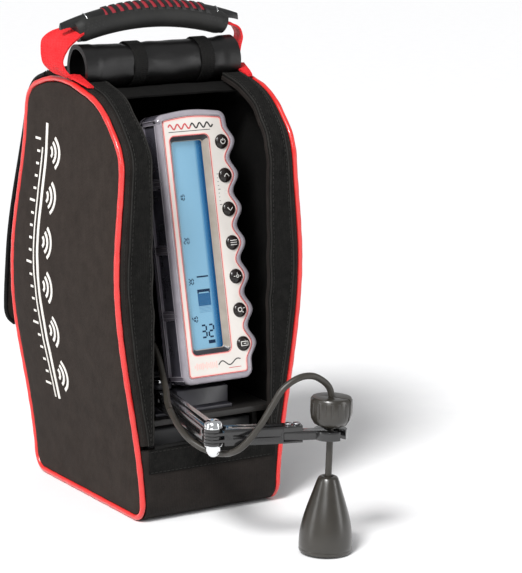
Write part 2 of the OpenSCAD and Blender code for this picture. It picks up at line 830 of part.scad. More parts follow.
module arm_fork() {
  color("#161616") link_place(elbow, outer_turn) translate([0, 0, fork_low]) difference() {
    union() {
      translate([tongue_x, -4.4, 0]) cube([outer_len - fork_r + 3 - tongue_x, 8.8, fork_t]);
      translate([outer_len, 0, 0]) cylinder(r = fork_r, h = fork_t);
    }
    translate([outer_len, 0, -1]) cylinder(r = 4.6, h = fork_t + 2);
    translate([outer_len, 0, -1]) rotate(fork_mouth_turn)
      translate([0, -fork_mouth / 2, 0]) cube([20, fork_mouth, fork_t + 2]);
    for (x = [outer_body_x - 4, outer_body_x - 10])
      translate([x, 0, -1]) cylinder(r = screw_r + face_gap, h = fork_t + 2);
  }
}

module fork_screws() {
  color("#8a8a8a") link_place(elbow, outer_turn) for (x = [outer_body_x - 4, outer_body_x - 10])
    translate([x, 0, 0]) {
      translate([0, 0, 0.5]) cylinder(r = screw_r, h = arm_t);
      translate([0, 0, arm_t + face_gap]) cylinder(r = 2.6, h = 1.6);
    }
}

module elbow_bolt() {
  z = arm_t + face_gap;
  color("#d8dadc") translate([elbow[0], elbow[1], arm_z]) {
    translate([0, 0, -6]) cylinder(r = bolt_r, h = z + 7);
    rotate_extrude() polygon([
      [0, z], [7, z], [7, z + 1], [6.5, z + 1], [6.5, z + 3], [5.6, z + 5], [3.4, z + 6.3], [0, z + 6.6]]);
  }
}

module elbow_nut() {
  color("#d8dadc") translate([elbow[0], elbow[1], arm_z]) difference() {
    union() {
      translate([0, 0, -0.9]) cylinder(r = 6.5, h = 0.9 - face_gap);
      translate([0, 0, -4.4]) cylinder(r = 5.9, h = 3.6, $fn = 6);
      translate([0, 0, -4.4]) intersection() {
        sphere(r = 5);
        box([-6, -6, -6], [6, 6, 0.5]);
      }
    }
    translate([0, 0, -6.05]) cylinder(r = bolt_r + face_gap, h = 8);
  }
}

// ---- Transducer ----

// Frame of the leaning axis: Z runs up the axis from the middle of the cone's base
module transducer_place() {
  translate(cone_foot) rotate([0, cone_lean, 0]) children();
}

function cone_r(s) = ring_r + (cone_d / 2 - ring_r) * (1 - pow(s / cone_h, 2.4));

module transducer_shell() {
  color("#48433d") transducer_place() difference() {
    rotate_extrude($fn = 72) polygon(concat(
      [[0, 0], [cone_d / 2 - 0.8, 0]],
      [for (k = [0 : 12]) let (s = 0.8 + (cone_h - 0.8) * k / 12) [cone_r(s), s]],
      [[ring_r - 1.2, cone_h + 0.6], [4, cone_h - gland_h], [0, cone_h - gland_h]]));
    translate([0, 0, -1]) cylinder(r = crystal_r + 0.1, h = crystal_t + 1.1);
  }
}

module transducer_crystal() {
  color("#2a2724") transducer_place() cylinder(r = crystal_r, h = crystal_t);
}

module cable_stopper() {
  r = stopper_d / 2;
  lo = stopper_low;
  hi = stopper_top;
  color("#48443e") transducer_place() difference() {
    rotate_extrude($fn = 72) polygon([
      [0, lo], [7.6, lo], [r * 0.8, lo + 2.4], [r * 0.94, lo + 6], [r, lo + 11], [r, hi - 1.6],
      [r - 1.2, hi], [0, hi]]);
    for (k = [0 : 17]) rotate(k * 20) translate([r + 0.5, 0, lo + 3]) cylinder(r = 1.1, h = 16, $fn = 16);
    translate([0, 0, lo - 1]) cylinder(r = cable_r + 0.2, h = 40);
    rotate(-62) translate([0, -0.9, lo - 1]) cube([r + 3, 1.8, 40]);
  }
}

module cable_drop() {
  color("#46423c") transducer_place() translate([0, 0, cone_h - gland_h + face_gap])
    cylinder(r = cable_r, h = stopper_low - cone_h + gland_h - 2 * face_gap, $fn = 16);
}

// ---- Cable ----

module cable_coil() {
  color("#46423c") translate([coil_at[0], coil_at[1], deck_top + face_gap])
    rotate_extrude($fn = 72) translate([coil_d / 2 - coil_h / 2, 0]) square([coil_h, coil_h]);
}

module cable_tie() {
  t = 1.2;
  color("#0e0e0e") translate([coil_at[0] + coil_d / 2, coil_at[1], deck_top + face_gap + coil_h / 2])
    difference() {
      cube([coil_h + 2 * t, 6, coil_h + 2 * t - 0.001], center = true);
      cube([coil_h + 0.6, 8, coil_h + 0.6], center = true);
    }
}

module cable(path) {
  color("#46423c") tube(smooth_path(path, 0), cable_r, 10);
}

module cable_lead() { cable(lead_path); }
module cable_entry() { cable(entry_path); }
module cable_sweep() { cable(sweep_path); }
module cable_arc() { cable(arc_path); }

bag_left_panel();
bag_right_panel();
bag_bottom_panel();
bag_back_panel();
bag_top_panel();
bag_front_lower_panel();
bag_front_left_strip();
bag_front_right_strip();
side_pipings();
hook_and_loop_strips();
rolled_front_cover();
roll_ties();
deck_tray();
battery();
battery_leads();
junction_box();
tilt_bracket();
cable_clip();
arm_base_mount();
arm_base_bolt();
cable_coil();
cable_tie();
cable_entry();
display_front_shell();
display_rear_cover();
display_gasket();
face_label();
window_lens();
lcd_panel();
backlight_panel();
circuit_board();
key_switches();
housing_screws();
display_socket();
lead_plug();
cable_lead();
tilt_knob();
tilt_bolt();
button_1();
button_2();
button_3();
button_4();
button_5();
button_6();
button_7();
arm_inner_link();
elbow_bolt();
elbow_nut();
cable_sweep();
arm_outer_link();
arm_fork();
fork_screws();
cable_arc();
cable_stopper();
cable_drop();
transducer_shell();
transducer_crystal();
handle_grip();
handle_webbing();
rear_flap();
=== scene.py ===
"""Looks of a portable fish finder in a soft carry bag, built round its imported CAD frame.

Shapes are worked out in millimetres, in the frame's own axes, and made() turns them into metres.
"""

import math

import bmesh
import bpy
import numpy as np
from mathutils import Matrix, Vector, noise


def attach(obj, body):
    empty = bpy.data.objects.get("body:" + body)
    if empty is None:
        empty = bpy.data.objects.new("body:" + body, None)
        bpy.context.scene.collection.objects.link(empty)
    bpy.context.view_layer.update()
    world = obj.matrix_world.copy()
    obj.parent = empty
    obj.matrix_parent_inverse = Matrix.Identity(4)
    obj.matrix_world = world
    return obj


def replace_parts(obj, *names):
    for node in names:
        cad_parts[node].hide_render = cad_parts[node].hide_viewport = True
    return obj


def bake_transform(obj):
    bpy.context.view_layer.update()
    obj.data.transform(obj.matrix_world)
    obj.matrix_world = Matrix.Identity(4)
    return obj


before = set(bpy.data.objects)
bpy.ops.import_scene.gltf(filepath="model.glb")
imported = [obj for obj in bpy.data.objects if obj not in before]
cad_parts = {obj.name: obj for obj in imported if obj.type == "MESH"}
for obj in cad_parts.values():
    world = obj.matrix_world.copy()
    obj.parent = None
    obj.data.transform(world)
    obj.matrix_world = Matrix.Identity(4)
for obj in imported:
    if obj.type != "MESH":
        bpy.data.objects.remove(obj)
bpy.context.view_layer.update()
MM = 0.001

# ---- Sizes repeated from the CAD source, in millimetres ----

BAG_BASE_W, BAG_W, BAG_TOP_W = 126, 167.5, 156
WIDEST_Z, TOP_Z = 195, 290
FRONT_Y, BACK_Y, BAG_H = -96, 96, 340
BAG_CORNERS = [
    (FRONT_Y, 0, 16), (FRONT_Y, BAG_H - 50, 40), (FRONT_Y + 34, BAG_H - 14, 70),
    (10, BAG_H + 2.5, 120), (BACK_Y - 30, BAG_H - 14, 28), (BACK_Y, 140, 200), (BACK_Y - 4, 0, 16)]
SIDE_INSET, PANEL_T, GUSSET_T = 5.2, 5, 5.6
LIP_H, OPENING_HALF, OPENING_TOP_Y, ROOF_FRONT_Y = 60, 49, -24, 12
PIPING_R, PIPING_INSET = 2.25, 2.6

ROLL_Y, ROLL_Z, ROLL_R, ROLL_WALL, ROLL_LEN = -6, 346, 17.5, 5, 137
TIE_X, TIE_W = (-26, 34), 12
FLAP_W, FLAP_Y, FLAP_LOW, FLAP_GAP = 146, 38, 120, 1.2

GRIP_Y, GRIP_MID_Z, GRIP_ARC_R, GRIP_R, GRIP_HALF = -1, 382.5, 222.8, 9.7, 66
BLADE_TIP_X, BLADE_TOP_Z, BLADE_TIP_Z = 79.4, 394, 380
WEBBING_EDGES = {
    "left": ([(-64, 14, 375.5), (-78.5, 14, 372.5), (-86.5, 14, 367.5), (-88, 14, 360), (-87, 13, 350),
              (-82.5, 8, 343), (-77.5, -6, 340)],
             [(-60, -9, 374), (-66.5, -10, 369.5), (-75.5, -10.5, 363), (-82.5, -12, 353.5), (-83, -14, 347),
              (-80.5, -16, 342.5), (-76, -17, 339)]),
    "right": ([(64, 17, 376), (76, 17, 372), (84, 17, 369), (87.5, 17, 361), (84, 16, 353.5),
               (79.5, 12, 346), (75.5, 2, 340)],
              [(60, -6, 374.5), (72, -6, 371.5), (79, -5.5, 367.5), (81.5, -5, 360.5), (79.5, -5, 353.5),
               (77, -7, 346), (74, -10, 339.5)])}

DISPLAY_POS, DISPLAY_LEAN = (-15.5, -88, 108.5), 12
LABEL_W, LABEL_H, RIM = 52.7, 201.1, 5
BUTTON_U, FIRST_BUTTON_V, BUTTON_PITCH, BUTTON_R = 51, 22, 26.55, 6
SCALLOP_MID, SCALLOP_DEPTH = 56, 3
WINDOW_LO, WINDOW_HI = (5.2, 17.5), (39.7, 188.1)
SEAM_W, LCD_W = -26, -6.4
BAY_COUNT, BAY_PITCH, BAY_H = 4, 51.5, 46

CONE_FOOT, CONE_LEAN = (23, -223.2, 0.95), 2.6
DROP_LOW, STOPPER_TOP = 55.45, 117.8

CABLE_D = 5
COIL_AT, COIL_TURN_R, COIL_LOW_Z = (-14, 38), (33, 28, 23), 81.6
GLAND = (18, 71, 97)
LEAD_PATH = [
    (13.5, -21.9, 140.5), (13.5, -12, 138.5), (15, -2, 133), (18, 6, 123), (23, 12, 110),
    (29, 20, 99), (34, 31, 92), (36, 41, 89.5)]
ENTRY_PATH = [
    (-47, 19, 82), (-47, 6, 84), (-45, -8, 91), (-41, -20, 103), (-37, -31, 118), (-34, -40, 130),
    (-32, -50, 135), (-32, -60, 132), (-33, -70, 124), (-36, -82, 113), (-41, -96, 105),
    (-47, -109, 99), (-51, -120, 96)]
SWEEP_PATH = [
    (-51.2, -120.6, 95.8), (-55, -140, 89), (-57, -158, 84), (-53, -170, 79), (-46, -180, 76),
    (-42, -189, 77), (-43, -198, 80), (-41, -207, 85), (-35, -212, 93), (-28, -216, 104),
    (-20, -218, 117)]
ARC_PATH = [
    (-20, -218, 117), (-12, -220, 129), (0, -222, 136), (11, -223, 136.5), (20, -223, 132),
    (26, -223, 126), (28.4, -223.2, 118.7)]


# ---- Small maths ----

def lerp(a, b, t):
    return a + (b - a) * t


def ease(t):
    t = np.clip(t, 0, 1)
    return t * t * (3 - 2 * t)


def half_w(z):
    """Half width of the bag at height z."""
    low = lerp(BAG_BASE_W / 2, BAG_W / 2, ease(np.asarray(z) / WIDEST_Z))
    high = lerp(BAG_W / 2, BAG_TOP_W / 2, ease((np.asarray(z) - WIDEST_Z) / (TOP_Z - WIDEST_Z)))
    return np.where(np.asarray(z) < WIDEST_Z, low, high)


def inset_corners(corners, d):
    out = []
    for i, (y, z, r) in enumerate(corners):
        p = np.array([y, z])
        before = np.array(corners[i - 1][:2])
        after = np.array(corners[(i + 1) % len(corners)][:2])
        d1 = (p - before) / np.linalg.norm(p - before)
        d2 = (after - p) / np.linalg.norm(after - p)
        n1, n2 = np.array([d1[1], -d1[0]]), np.array([d2[1], -d2[0]])
        q = p + d * (n1 + n2) / (1 + n1 @ n2)
        out.append((q[0], q[1], r - d))
    return out


def rounded(corners, steps=10):
    """A closed clockwise outline with every corner rounded."""
    out = []
    for i, (y, z, r) in enumerate(corners):
        p = np.array([y, z])
        before = np.array(corners[i - 1][:2])
        after = np.array(corners[(i + 1) % len(corners)][:2])
        d1 = (p - before) / np.linalg.norm(p - before)
        d2 = (after - p) / np.linalg.norm(after - p)
        turn = math.acos(max(-1, min(1, d1 @ d2)))
        start = p - d1 * r * math.tan(turn / 2)
        centre = start + np.array([d1[1], -d1[0]]) * r
        a0 = math.atan2(start[1] - centre[1], start[0] - centre[0])
        for k in range(steps + 1):
            a = a0 - turn * k / steps
            out.append(centre + r * np.array([math.cos(a), math.sin(a)]))
    return np.array(out)


def resampled(points, step, closed=False):
    """Points about step apart along a line."""
    p = np.array(points, float)
    if closed:
        p = np.vstack([p, p[:1]])
    gaps = np.linalg.norm(np.diff(p, axis=0), axis=1)
    along = np.concatenate([[0], np.cumsum(gaps)])
    n = max(2, int(round(along[-1] / step)))
    at = np.linspace(0, along[-1], n + 1)
    out = np.stack([np.interp(at, along, p[:, k]) for k in range(p.shape[1])], axis=1)
    return out[:-1] if closed else out


def smooth_line(points, step=2.0):
    """A Catmull-Rom curve through the points, resampled evenly."""
    p = np.array(points, float)
    ends = np.vstack([2 * p[0] - p[1], p, 2 * p[-1] - p[-2]])
    out = []
    for i in range(1, len(ends) - 2):
        a, b, c, d = ends[i - 1:i + 3]
        for t in np.linspace(0, 1, 12, endpoint=False):
            out.append(0.5 * (2 * b + (c - a) * t + (2 * a - 5 * b + 4 * c - d) * t ** 2
                              + (3 * b - a - 3 * c + d) * t ** 3))
    out.append(p[-1])
    return resampled(out, step)


def wave_noise(x, y, z, size, depth=2):
    """Smooth noise from -1 to 1 whose bumps are about size millimetres across."""
    return noise.fractal(Vector((x, y, z)) / size, 1.0, 2.0, depth, noise_basis="PERLIN_ORIGINAL")


def outline(d=0.0, step=3.0):
    """The bag's side outline, d inside its outer face, as [y, z] points."""
    return resampled(rounded(inset_corners(BAG_CORNERS, d)), step, closed=True)


# ---- Mesh helpers ----

def made(name, points, faces, material=None, smooth=35):
    """A mesh object from points in millimetres. Edges sharper than smooth degrees stay sharp."""
    mesh = bpy.data.meshes.new(name)
    mesh.from_pydata([tuple(float(c) * MM for c in p) for p in points], [], faces)
    mesh.validate()
    work = bmesh.new()
    work.from_mesh(mesh)
    bmesh.ops.remove_doubles(work, verts=work.verts, dist=1e-6)
    bmesh.ops.recalc_face_normals(work, faces=work.faces)
    work.to_mesh(mesh)
    work.free()
    mesh.shade_smooth()
    mesh.set_sharp_from_angle(angle=math.radians(smooth))
    obj = bpy.data.objects.new(name, mesh)
    bpy.context.scene.collection.objects.link(obj)
    if material is not None:
        mesh.materials.append(material)
    return obj


def ring_faces(rows, cols, wrap_cols=True, wrap_rows=False, start=0):
    faces = []
    for i in range(rows if wrap_rows else rows - 1):
        for j in range(cols if wrap_cols else cols - 1):
            a, b = start + i * cols + j, start + i * cols + (j + 1) % cols
            c, d = ((i + 1) % rows) * cols + (j + 1) % cols + start, ((i + 1) % rows) * cols + j + start
            faces.append((a, b, c, d))
    return faces


def loft(name, rings, material, caps=(True, True), wrap=False, smooth=35):
    """A skin over closed rings that all have the same number of points."""
    rows, cols = len(rings), len(rings[0])
    faces = ring_faces(rows, cols, wrap_rows=wrap)
    if caps[0] and not wrap:
        faces.append(tuple(range(cols)))
    if caps[1] and not wrap:
        faces.append(tuple((rows - 1) * cols + k for k in range(cols)))
    return made(name, [p for r in rings for p in r], faces, material, smooth)


def frames_along(line, up=(0.2, 0.9, 0.1), closed=False):
    """Tangent and two side directions at each point of a line, turned as little as possible."""
    p = np.array(line, float)
    if closed:
        tangents = np.roll(p, -1, axis=0) - np.roll(p, 1, axis=0)
    else:
        tangents = np.gradient(p, axis=0)
    tangents /= np.linalg.norm(tangents, axis=1)[:, None]
    last, out = np.array(up, float), []
    for t in tangents:
        n = last - (last @ t) * t
        n /= np.linalg.norm(n)
        out.append((t, n, np.cross(t, n)))
        last = n
    return out


def tube(name, line, radius, material, sides=14, closed=False, squeeze=1.0, up=(0.2, 0.9, 0.1)):
    """A round or flattened tube along a line; radius may be a number or one for each point."""
    radii = np.broadcast_to(np.asarray(radius, float), (len(line),))
    rings = []
    for p, r, (_, n, b) in zip(np.array(line, float), radii, frames_along(line, up, closed)):
        turn = [2 * math.pi * k / sides for k in range(sides)]
        rings.append([p + r * (math.cos(a) * n + squeeze * math.sin(a) * b) for a in turn])
    return loft(name, rings, material, wrap=closed, smooth=50)


def lathe(name, profile, material, place=None, n=48, smooth=35):
    """A turned piece from [radius, height] points, standing on Z, then put in place."""
    rings = []
    for r, h in profile:
        turn = [2 * math.pi * k / n for k in range(n)]
        rings.append([(r * math.cos(a), r * math.sin(a), h) for a in turn])
    obj = loft(name, rings, material, smooth=smooth)
    if place is not None:
        obj.data.transform(place)
    return obj


def joined(name, parts):
    """One object from several."""
    work = bmesh.new()
    materials = []
    for p in parts:
        offset = len(materials)
        first = len(work.faces)
        work.from_mesh(p.data)
        work.faces.ensure_lookup_table()
        materials += list(p.data.materials)
        for f in work.faces[first:]:
            f.material_index += offset
    mesh = bpy.data.meshes.new(name)
    work.to_mesh(mesh)
    work.free()
    for m in materials:
        mesh.materials.append(m)
    for p in parts:
        bpy.data.objects.remove(p)
    obj = bpy.data.objects.new(name, mesh)
    bpy.context.scene.collection.objects.link(obj)
    return obj


def eased(node, width, material, body, slot):
    """A copy of a CAD node with its hard edges rounded, shown in its place."""
    obj = bpy.data.objects.new("eased_" + node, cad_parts[node].data.copy())
    bpy.context.scene.collection.objects.link(obj)
    work = bmesh.new()
    work.from_mesh(obj.data)
    bmesh.ops.remove_doubles(work, verts=work.verts, dist=2e-6)
    bmesh.ops.dissolve_limit(
        work, angle_limit=math.radians(1.5), verts=work.verts, edges=work.edges)
    bmesh.ops.recalc_face_normals(work, faces=work.faces)
    work.to_mesh(obj.data)
    work.free()
    bevel = obj.modifiers.new("edges", "BEVEL")
    bevel.width = width * MM
    bevel.segments = 2
    bevel.limit_method = "ANGLE"
    bevel.angle_limit = math.radians(40)
    bevel.use_clamp_overlap = True
    applied(obj)
    obj.data.shade_smooth()
    obj.data.set_sharp_from_angle(angle=math.radians(40))
    obj.data.materials.clear()
    obj.data.materials.append(material)
    return put(obj, body, slot, node)


def applied(obj):
    """Turns an object's modifiers into its mesh."""
    graph = bpy.context.evaluated_depsgraph_get()
    mesh = bpy.data.meshes.new_from_object(obj.evaluated_get(graph))
    obj.modifiers.clear()
    obj.data = mesh
    return obj


def put(obj, body, slot=None, *nodes):
    """Rides obj on a body and hides the CAD nodes that it stands for; slot is not used."""
    if body is not None:
        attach(obj, body)
    if nodes:
        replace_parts(obj, *nodes)
    return obj


# ---- Materials: all procedural, worked out from each piece's own coordinates ----

def shader(name, colour, rough, metal=0.0, **sockets):
    """A Principled material. Sockets are named with underscores, such as Coat_Weight."""
    mat = bpy.data.materials.new(name)
    mat.use_nodes = True
    bsdf = mat.node_tree.nodes["Principled BSDF"]
    bsdf.inputs["Base Color"].default_value = (*colour, 1)
    bsdf.inputs["Roughness"].default_value = rough
    bsdf.inputs["Metallic"].default_value = metal
    for key, value in sockets.items():
        bsdf.inputs[key.replace("_", " ")].default_value = value
    return mat


def texture(mat, kind, size, stretch=(1, 1, 1), turn=(0, 0, 0), **settings):
    """A texture node in object coordinates; size is that of its pattern in millimetres."""
    tree = mat.node_tree
    coords = tree.nodes.new("ShaderNodeTexCoord")
    mapping = tree.nodes.new("ShaderNodeMapping")
    mapping.inputs["Rotation"].default_value = [math.radians(a) for a in turn]
    mapping.inputs["Scale"].default_value = stretch
    node = tree.nodes.new("ShaderNodeTex" + kind)
    period = 2 * math.pi / 20 if kind == "Wave" else 1
    node.inputs["Scale"].default_value = period / (size * MM)
    for key, value in settings.items():
        if key in node.inputs:
            node.inputs[key].default_value = value
        else:
            setattr(node, key, value)
    tree.links.new(coords.outputs["Object"], mapping.inputs["Vector"])
    tree.links.new(mapping.outputs["Vector"], node.inputs["Vector"])
    return node


def maths(mat, operation, a, b):
    node = mat.node_tree.nodes.new("ShaderNodeMath")
    node.operation = operation
    for socket, value in zip(node.inputs, (a, b)):
        if isinstance(value, bpy.types.NodeSocket):
            mat.node_tree.links.new(value, socket)
        else:
            socket.default_value = value
    return node.outputs[0]


def factor_of(node):
    return node.outputs["Fac"] if "Fac" in node.outputs else node.outputs["Distance"]


def tint(mat, factor, low, high, start=0.3, end=0.7):
    """Mixes two base colours by a factor between start and end."""
    ramp = mat.node_tree.nodes.new("ShaderNodeValToRGB")
    ramp.color_ramp.elements[0].position = start
    ramp.color_ramp.elements[0].color = (*low, 1)
    ramp.color_ramp.elements[1].position = end
    ramp.color_ramp.elements[1].color = (*high, 1)
    mat.node_tree.links.new(factor, ramp.inputs["Fac"])
    bsdf = mat.node_tree.nodes["Principled BSDF"]
    mat.node_tree.links.new(ramp.outputs["Color"], bsdf.inputs["Base Color"])
    return ramp


def roughen(mat, factor, low, high):
    """Varies the roughness between two values by a factor."""
    node = mat.node_tree.nodes.new("ShaderNodeMapRange")
    node.inputs["To Min"].default_value = low
    node.inputs["To Max"].default_value = high
    mat.node_tree.links.new(factor, node.inputs["Value"])
    bsdf = mat.node_tree.nodes["Principled BSDF"]
    mat.node_tree.links.new(node.outputs["Result"], bsdf.inputs["Roughness"])


def bump(mat, height, depth, strength=0.6):
    """Adds a bump of that depth in millimetres to what is there."""
    tree = mat.node_tree
    bsdf = tree.nodes["Principled BSDF"]
    node = tree.nodes.new("ShaderNodeBump")
    node.inputs["Distance"].default_value = depth * MM
    node.inputs["Strength"].default_value = strength
    tree.links.new(height, node.inputs["Height"])
    if bsdf.inputs["Normal"].is_linked:
        tree.links.new(bsdf.inputs["Normal"].links[0].from_socket, node.inputs["Normal"])
    tree.links.new(node.outputs["Normal"], bsdf.inputs["Normal"])


def cloth(name, low, high, rough, pitch, depth=0.25, mottle=14, **sockets):
    """Woven cloth: crossing threads, uneven dye and a weak specular level."""
    sockets.setdefault("Specular_IOR_Level", 0.14)
    mat = shader(name, low, rough, **sockets)
    warp = texture(mat, "Wave", pitch * 1.41, turn=(0, 0, 45), Distortion=1.2, Detail=1.0)
    weft = texture(mat, "Wave", pitch, bands_direction="Z", Distortion=1.2, Detail=1.0)
    threads = maths(mat, "MULTIPLY", factor_of(warp), factor_of(weft))
    patches = texture(mat, "Noise", mottle, Detail=6.0, Roughness=0.65)
    lint = texture(mat, "Noise", pitch * 0.7, Detail=2.0)
    shade = maths(mat, "ADD", maths(mat, "MULTIPLY", factor_of(patches), 0.6),
                  maths(mat, "MULTIPLY", factor_of(lint), 0.4))
    tint(mat, shade, low, high, 0.36, 0.68)
    bump(mat, threads, depth)
    bump(mat, factor_of(patches), depth * 1.5, 0.35)
    return mat


def moulded(name, low, high, rough, grain=1.1, depth=0.05, **sockets):
    """Moulded plastic or rubber: fine grain, slight colour change and handling marks."""
    mat = shader(name, low, rough, **sockets)
    grain_node = texture(mat, "Noise", grain, Detail=3.0)
    patches = texture(mat, "Noise", 22, Detail=5.0, Roughness=0.6)
    tint(mat, factor_of(patches), low, high)
    roughen(mat, factor_of(patches), max(rough - 0.07, 0.02), min(rough + 0.1, 1))
    bump(mat, factor_of(grain_node), depth, 0.5)
    return mat


def metal(name, colour, rough, depth=0.01):
    """Polished or plated metal with faint turning marks."""
    mat = shader(name, colour, rough, 1.0)
    marks = texture(mat, "Noise", 0.8, stretch=(1, 1, 8), Detail=3.0)
    roughen(mat, factor_of(marks), max(rough - 0.05, 0.03), rough + 0.12)
    bump(mat, factor_of(marks), depth, 0.4)
    return mat


BAG_CLOTH = cloth("bag_cloth", (0.019, 0.014, 0.0115), (0.033, 0.025, 0.021), 0.82, 1.1)
GUSSET_CLOTH = cloth("gusset_cloth", (0.011, 0.009, 0.008), (0.021, 0.017, 0.015), 0.8, 1.1)
# Near-black cloth for the bag's inner faces and the facing under the roll: painted shade inside the bag.
PAINTED_SHADE_CLOTH = cloth("painted_shade_cloth", (0.003, 0.003, 0.003), (0.006, 0.0055, 0.005), 0.85, 0.9)
LOOP_PILE = cloth("loop_pile", (0.0035, 0.0035, 0.0033), (0.013, 0.0125, 0.0115), 0.95, 0.9, 0.9, 5)
SELVAGE = cloth("selvage", (0.012, 0.0115, 0.0105), (0.025, 0.024, 0.022), 0.7, 0.8, 0.3)
NYLON = cloth("coated_nylon", (0.0025, 0.0025, 0.0025), (0.006, 0.0055, 0.0055), 0.34, 0.5, 0.08, 30,
              Specular_IOR_Level=0.4, Coat_Weight=0.12, Coat_Roughness=0.3)
TAPE = cloth("black_tape", (0.004, 0.004, 0.004), (0.009, 0.0085, 0.008), 0.6, 1.6, 0.4)
WEBBING = cloth("red_webbing", (0.56, 0.014, 0.018), (0.78, 0.03, 0.034), 0.55, 1.9, 0.55)
THREAD = cloth("thread", (0.012, 0.012, 0.011), (0.026, 0.025, 0.023), 0.6, 0.3, 0.05)
PIPING = moulded("red_piping", (0.6, 0.016, 0.014), (0.7, 0.026, 0.022), 0.3, 6, 0.25,
                 Coat_Weight=0.5, Coat_Roughness=0.12)
GRIP = moulded("grip_rubber", (0.0135, 0.0135, 0.013), (0.022, 0.022, 0.021), 0.46, 0.9, 0.1,
               Specular_IOR_Level=0.25)
GRIP_DARK = moulded("grip_cap", (0.006, 0.006, 0.006), (0.011, 0.011, 0.011), 0.34, 0.9, 0.06,
                    Specular_IOR_Level=0.4)
GRIP_RED = moulded("grip_inlay", (0.2, 0.012, 0.02), (0.3, 0.02, 0.03), 0.45)
HOUSING = moulded("smoky_housing", (0.15, 0.135, 0.165), (0.24, 0.22, 0.255), 0.14, 7, 0.03,
                  Coat_Weight=0.8, Coat_Roughness=0.06, Transmission_Weight=0.12, IOR=1.49)
# Lighter copy of the smoky housing plastic: painted highlight on the front rim and on the side ribs.
HOUSING_PAINTED_HIGHLIGHT = moulded("housing_painted_highlight", (0.28, 0.255, 0.29), (0.38, 0.355, 0.39), 0.12, 7, 0.03,
                        Coat_Weight=0.8, Coat_Roughness=0.06, Transmission_Weight=0.12)
# Darker copy of the housing plastic: painted shade in the recessed bays of the left wall.
HOUSING_PAINTED_SHADE = moulded("housing_bay_painted_shade", (0.045, 0.043, 0.055), (0.085, 0.08, 0.1), 0.16, 7, 0.03,
                       Coat_Weight=0.7, Coat_Roughness=0.08)
WINDOW_WALL = moulded("window_wall", (0.27, 0.235, 0.2), (0.39, 0.345, 0.3), 0.2, 5, 0.03,
                      Coat_Weight=0.5, Coat_Roughness=0.1)
LABEL = moulded("label_film", (0.64, 0.6, 0.56), (0.7, 0.665, 0.625), 0.34, 0.6, 0.015,
                Coat_Weight=0.3, Coat_Roughness=0.15)
PRINT_RED = moulded("print_red", (0.47, 0.055, 0.06), (0.56, 0.085, 0.09), 0.4, 0.5, 0.01)
PRINT_PINK = moulded("print_pink", (0.78, 0.47, 0.43), (0.84, 0.55, 0.5), 0.4, 0.5, 0.01)
PRINT_BLACK = moulded("print_black", (0.012, 0.011, 0.011), (0.02, 0.018, 0.018), 0.4, 0.5, 0.01)
PRINT_WHITE = moulded("print_white", (0.72, 0.69, 0.64), (0.84, 0.81, 0.76), 0.6, 0.8, 0.08)
KEY = moulded("key_rubber", (0.009, 0.0065, 0.006), (0.016, 0.012, 0.011), 0.22, 1.2, 0.02,
              Specular_IOR_Level=0.3, Coat_Weight=0.25, Coat_Roughness=0.1)
KEY_ICON = moulded("key_icon", (0.5, 0.49, 0.46), (0.64, 0.62, 0.6), 0.5, 0.5, 0.01)
ARM = moulded("arm_plastic", (0.0075, 0.0075, 0.008), (0.013, 0.0125, 0.0125), 0.2, 1.4, 0.03,
              Coat_Weight=0.6, Coat_Roughness=0.12)
GREY_PLASTIC = moulded("grey_plastic", (0.021, 0.021, 0.026), (0.038, 0.037, 0.044), 0.32, 1.2, 0.04)
TRAY = moulded("tray_board", (0.009, 0.008, 0.0075), (0.016, 0.0145, 0.013), 0.5, 1.6, 0.15)
BLACK_PLASTIC = moulded("black_plastic", (0.011, 0.011, 0.0115), (0.02, 0.02, 0.02), 0.4, 1.0, 0.06)
GASKET = moulded("gasket_rubber", (0.012, 0.012, 0.012), (0.018, 0.018, 0.018), 0.7, 0.7, 0.05)
BATTERY = moulded("battery_case", (0.033, 0.033, 0.035), (0.05, 0.05, 0.052), 0.45, 1.1, 0.08)
WIRE_RED = moulded("wire", (0.42, 0.015, 0.015), (0.55, 0.03, 0.03), 0.4)
BOARD = moulded("board", (0.012, 0.09, 0.035), (0.025, 0.14, 0.06), 0.4, 2.2, 0.1)
DIFFUSER = moulded("diffuser", (0.76, 0.8, 0.84), (0.84, 0.87, 0.9), 0.5)
BODY = moulded("transducer_plastic", (0.019, 0.0165, 0.0125), (0.028, 0.0245, 0.019), 0.3, 0.9, 0.035,
               Specular_IOR_Level=0.6, Coat_Weight=0.25, Coat_Roughness=0.25)
CRYSTAL = moulded("crystal_face", (0.024, 0.021, 0.018), (0.036, 0.031, 0.027), 0.5)
JACKET = moulded("cable_jacket", (0.024, 0.021, 0.0165), (0.036, 0.032, 0.026), 0.4, 1.3, 0.05)
CHROME = metal("bright_metal", (0.82, 0.83, 0.84), 0.12)
STEEL = metal("plated_steel", (0.5, 0.5, 0.52), 0.3)
LENS = shader("clear_window", (0.1, 0.13, 0.15), 0.05, Alpha=0.03, Coat_Weight=0.4)
bump(LENS, factor_of(texture(LENS, "Noise", 25, Detail=2.0)), 0.02, 0.3)


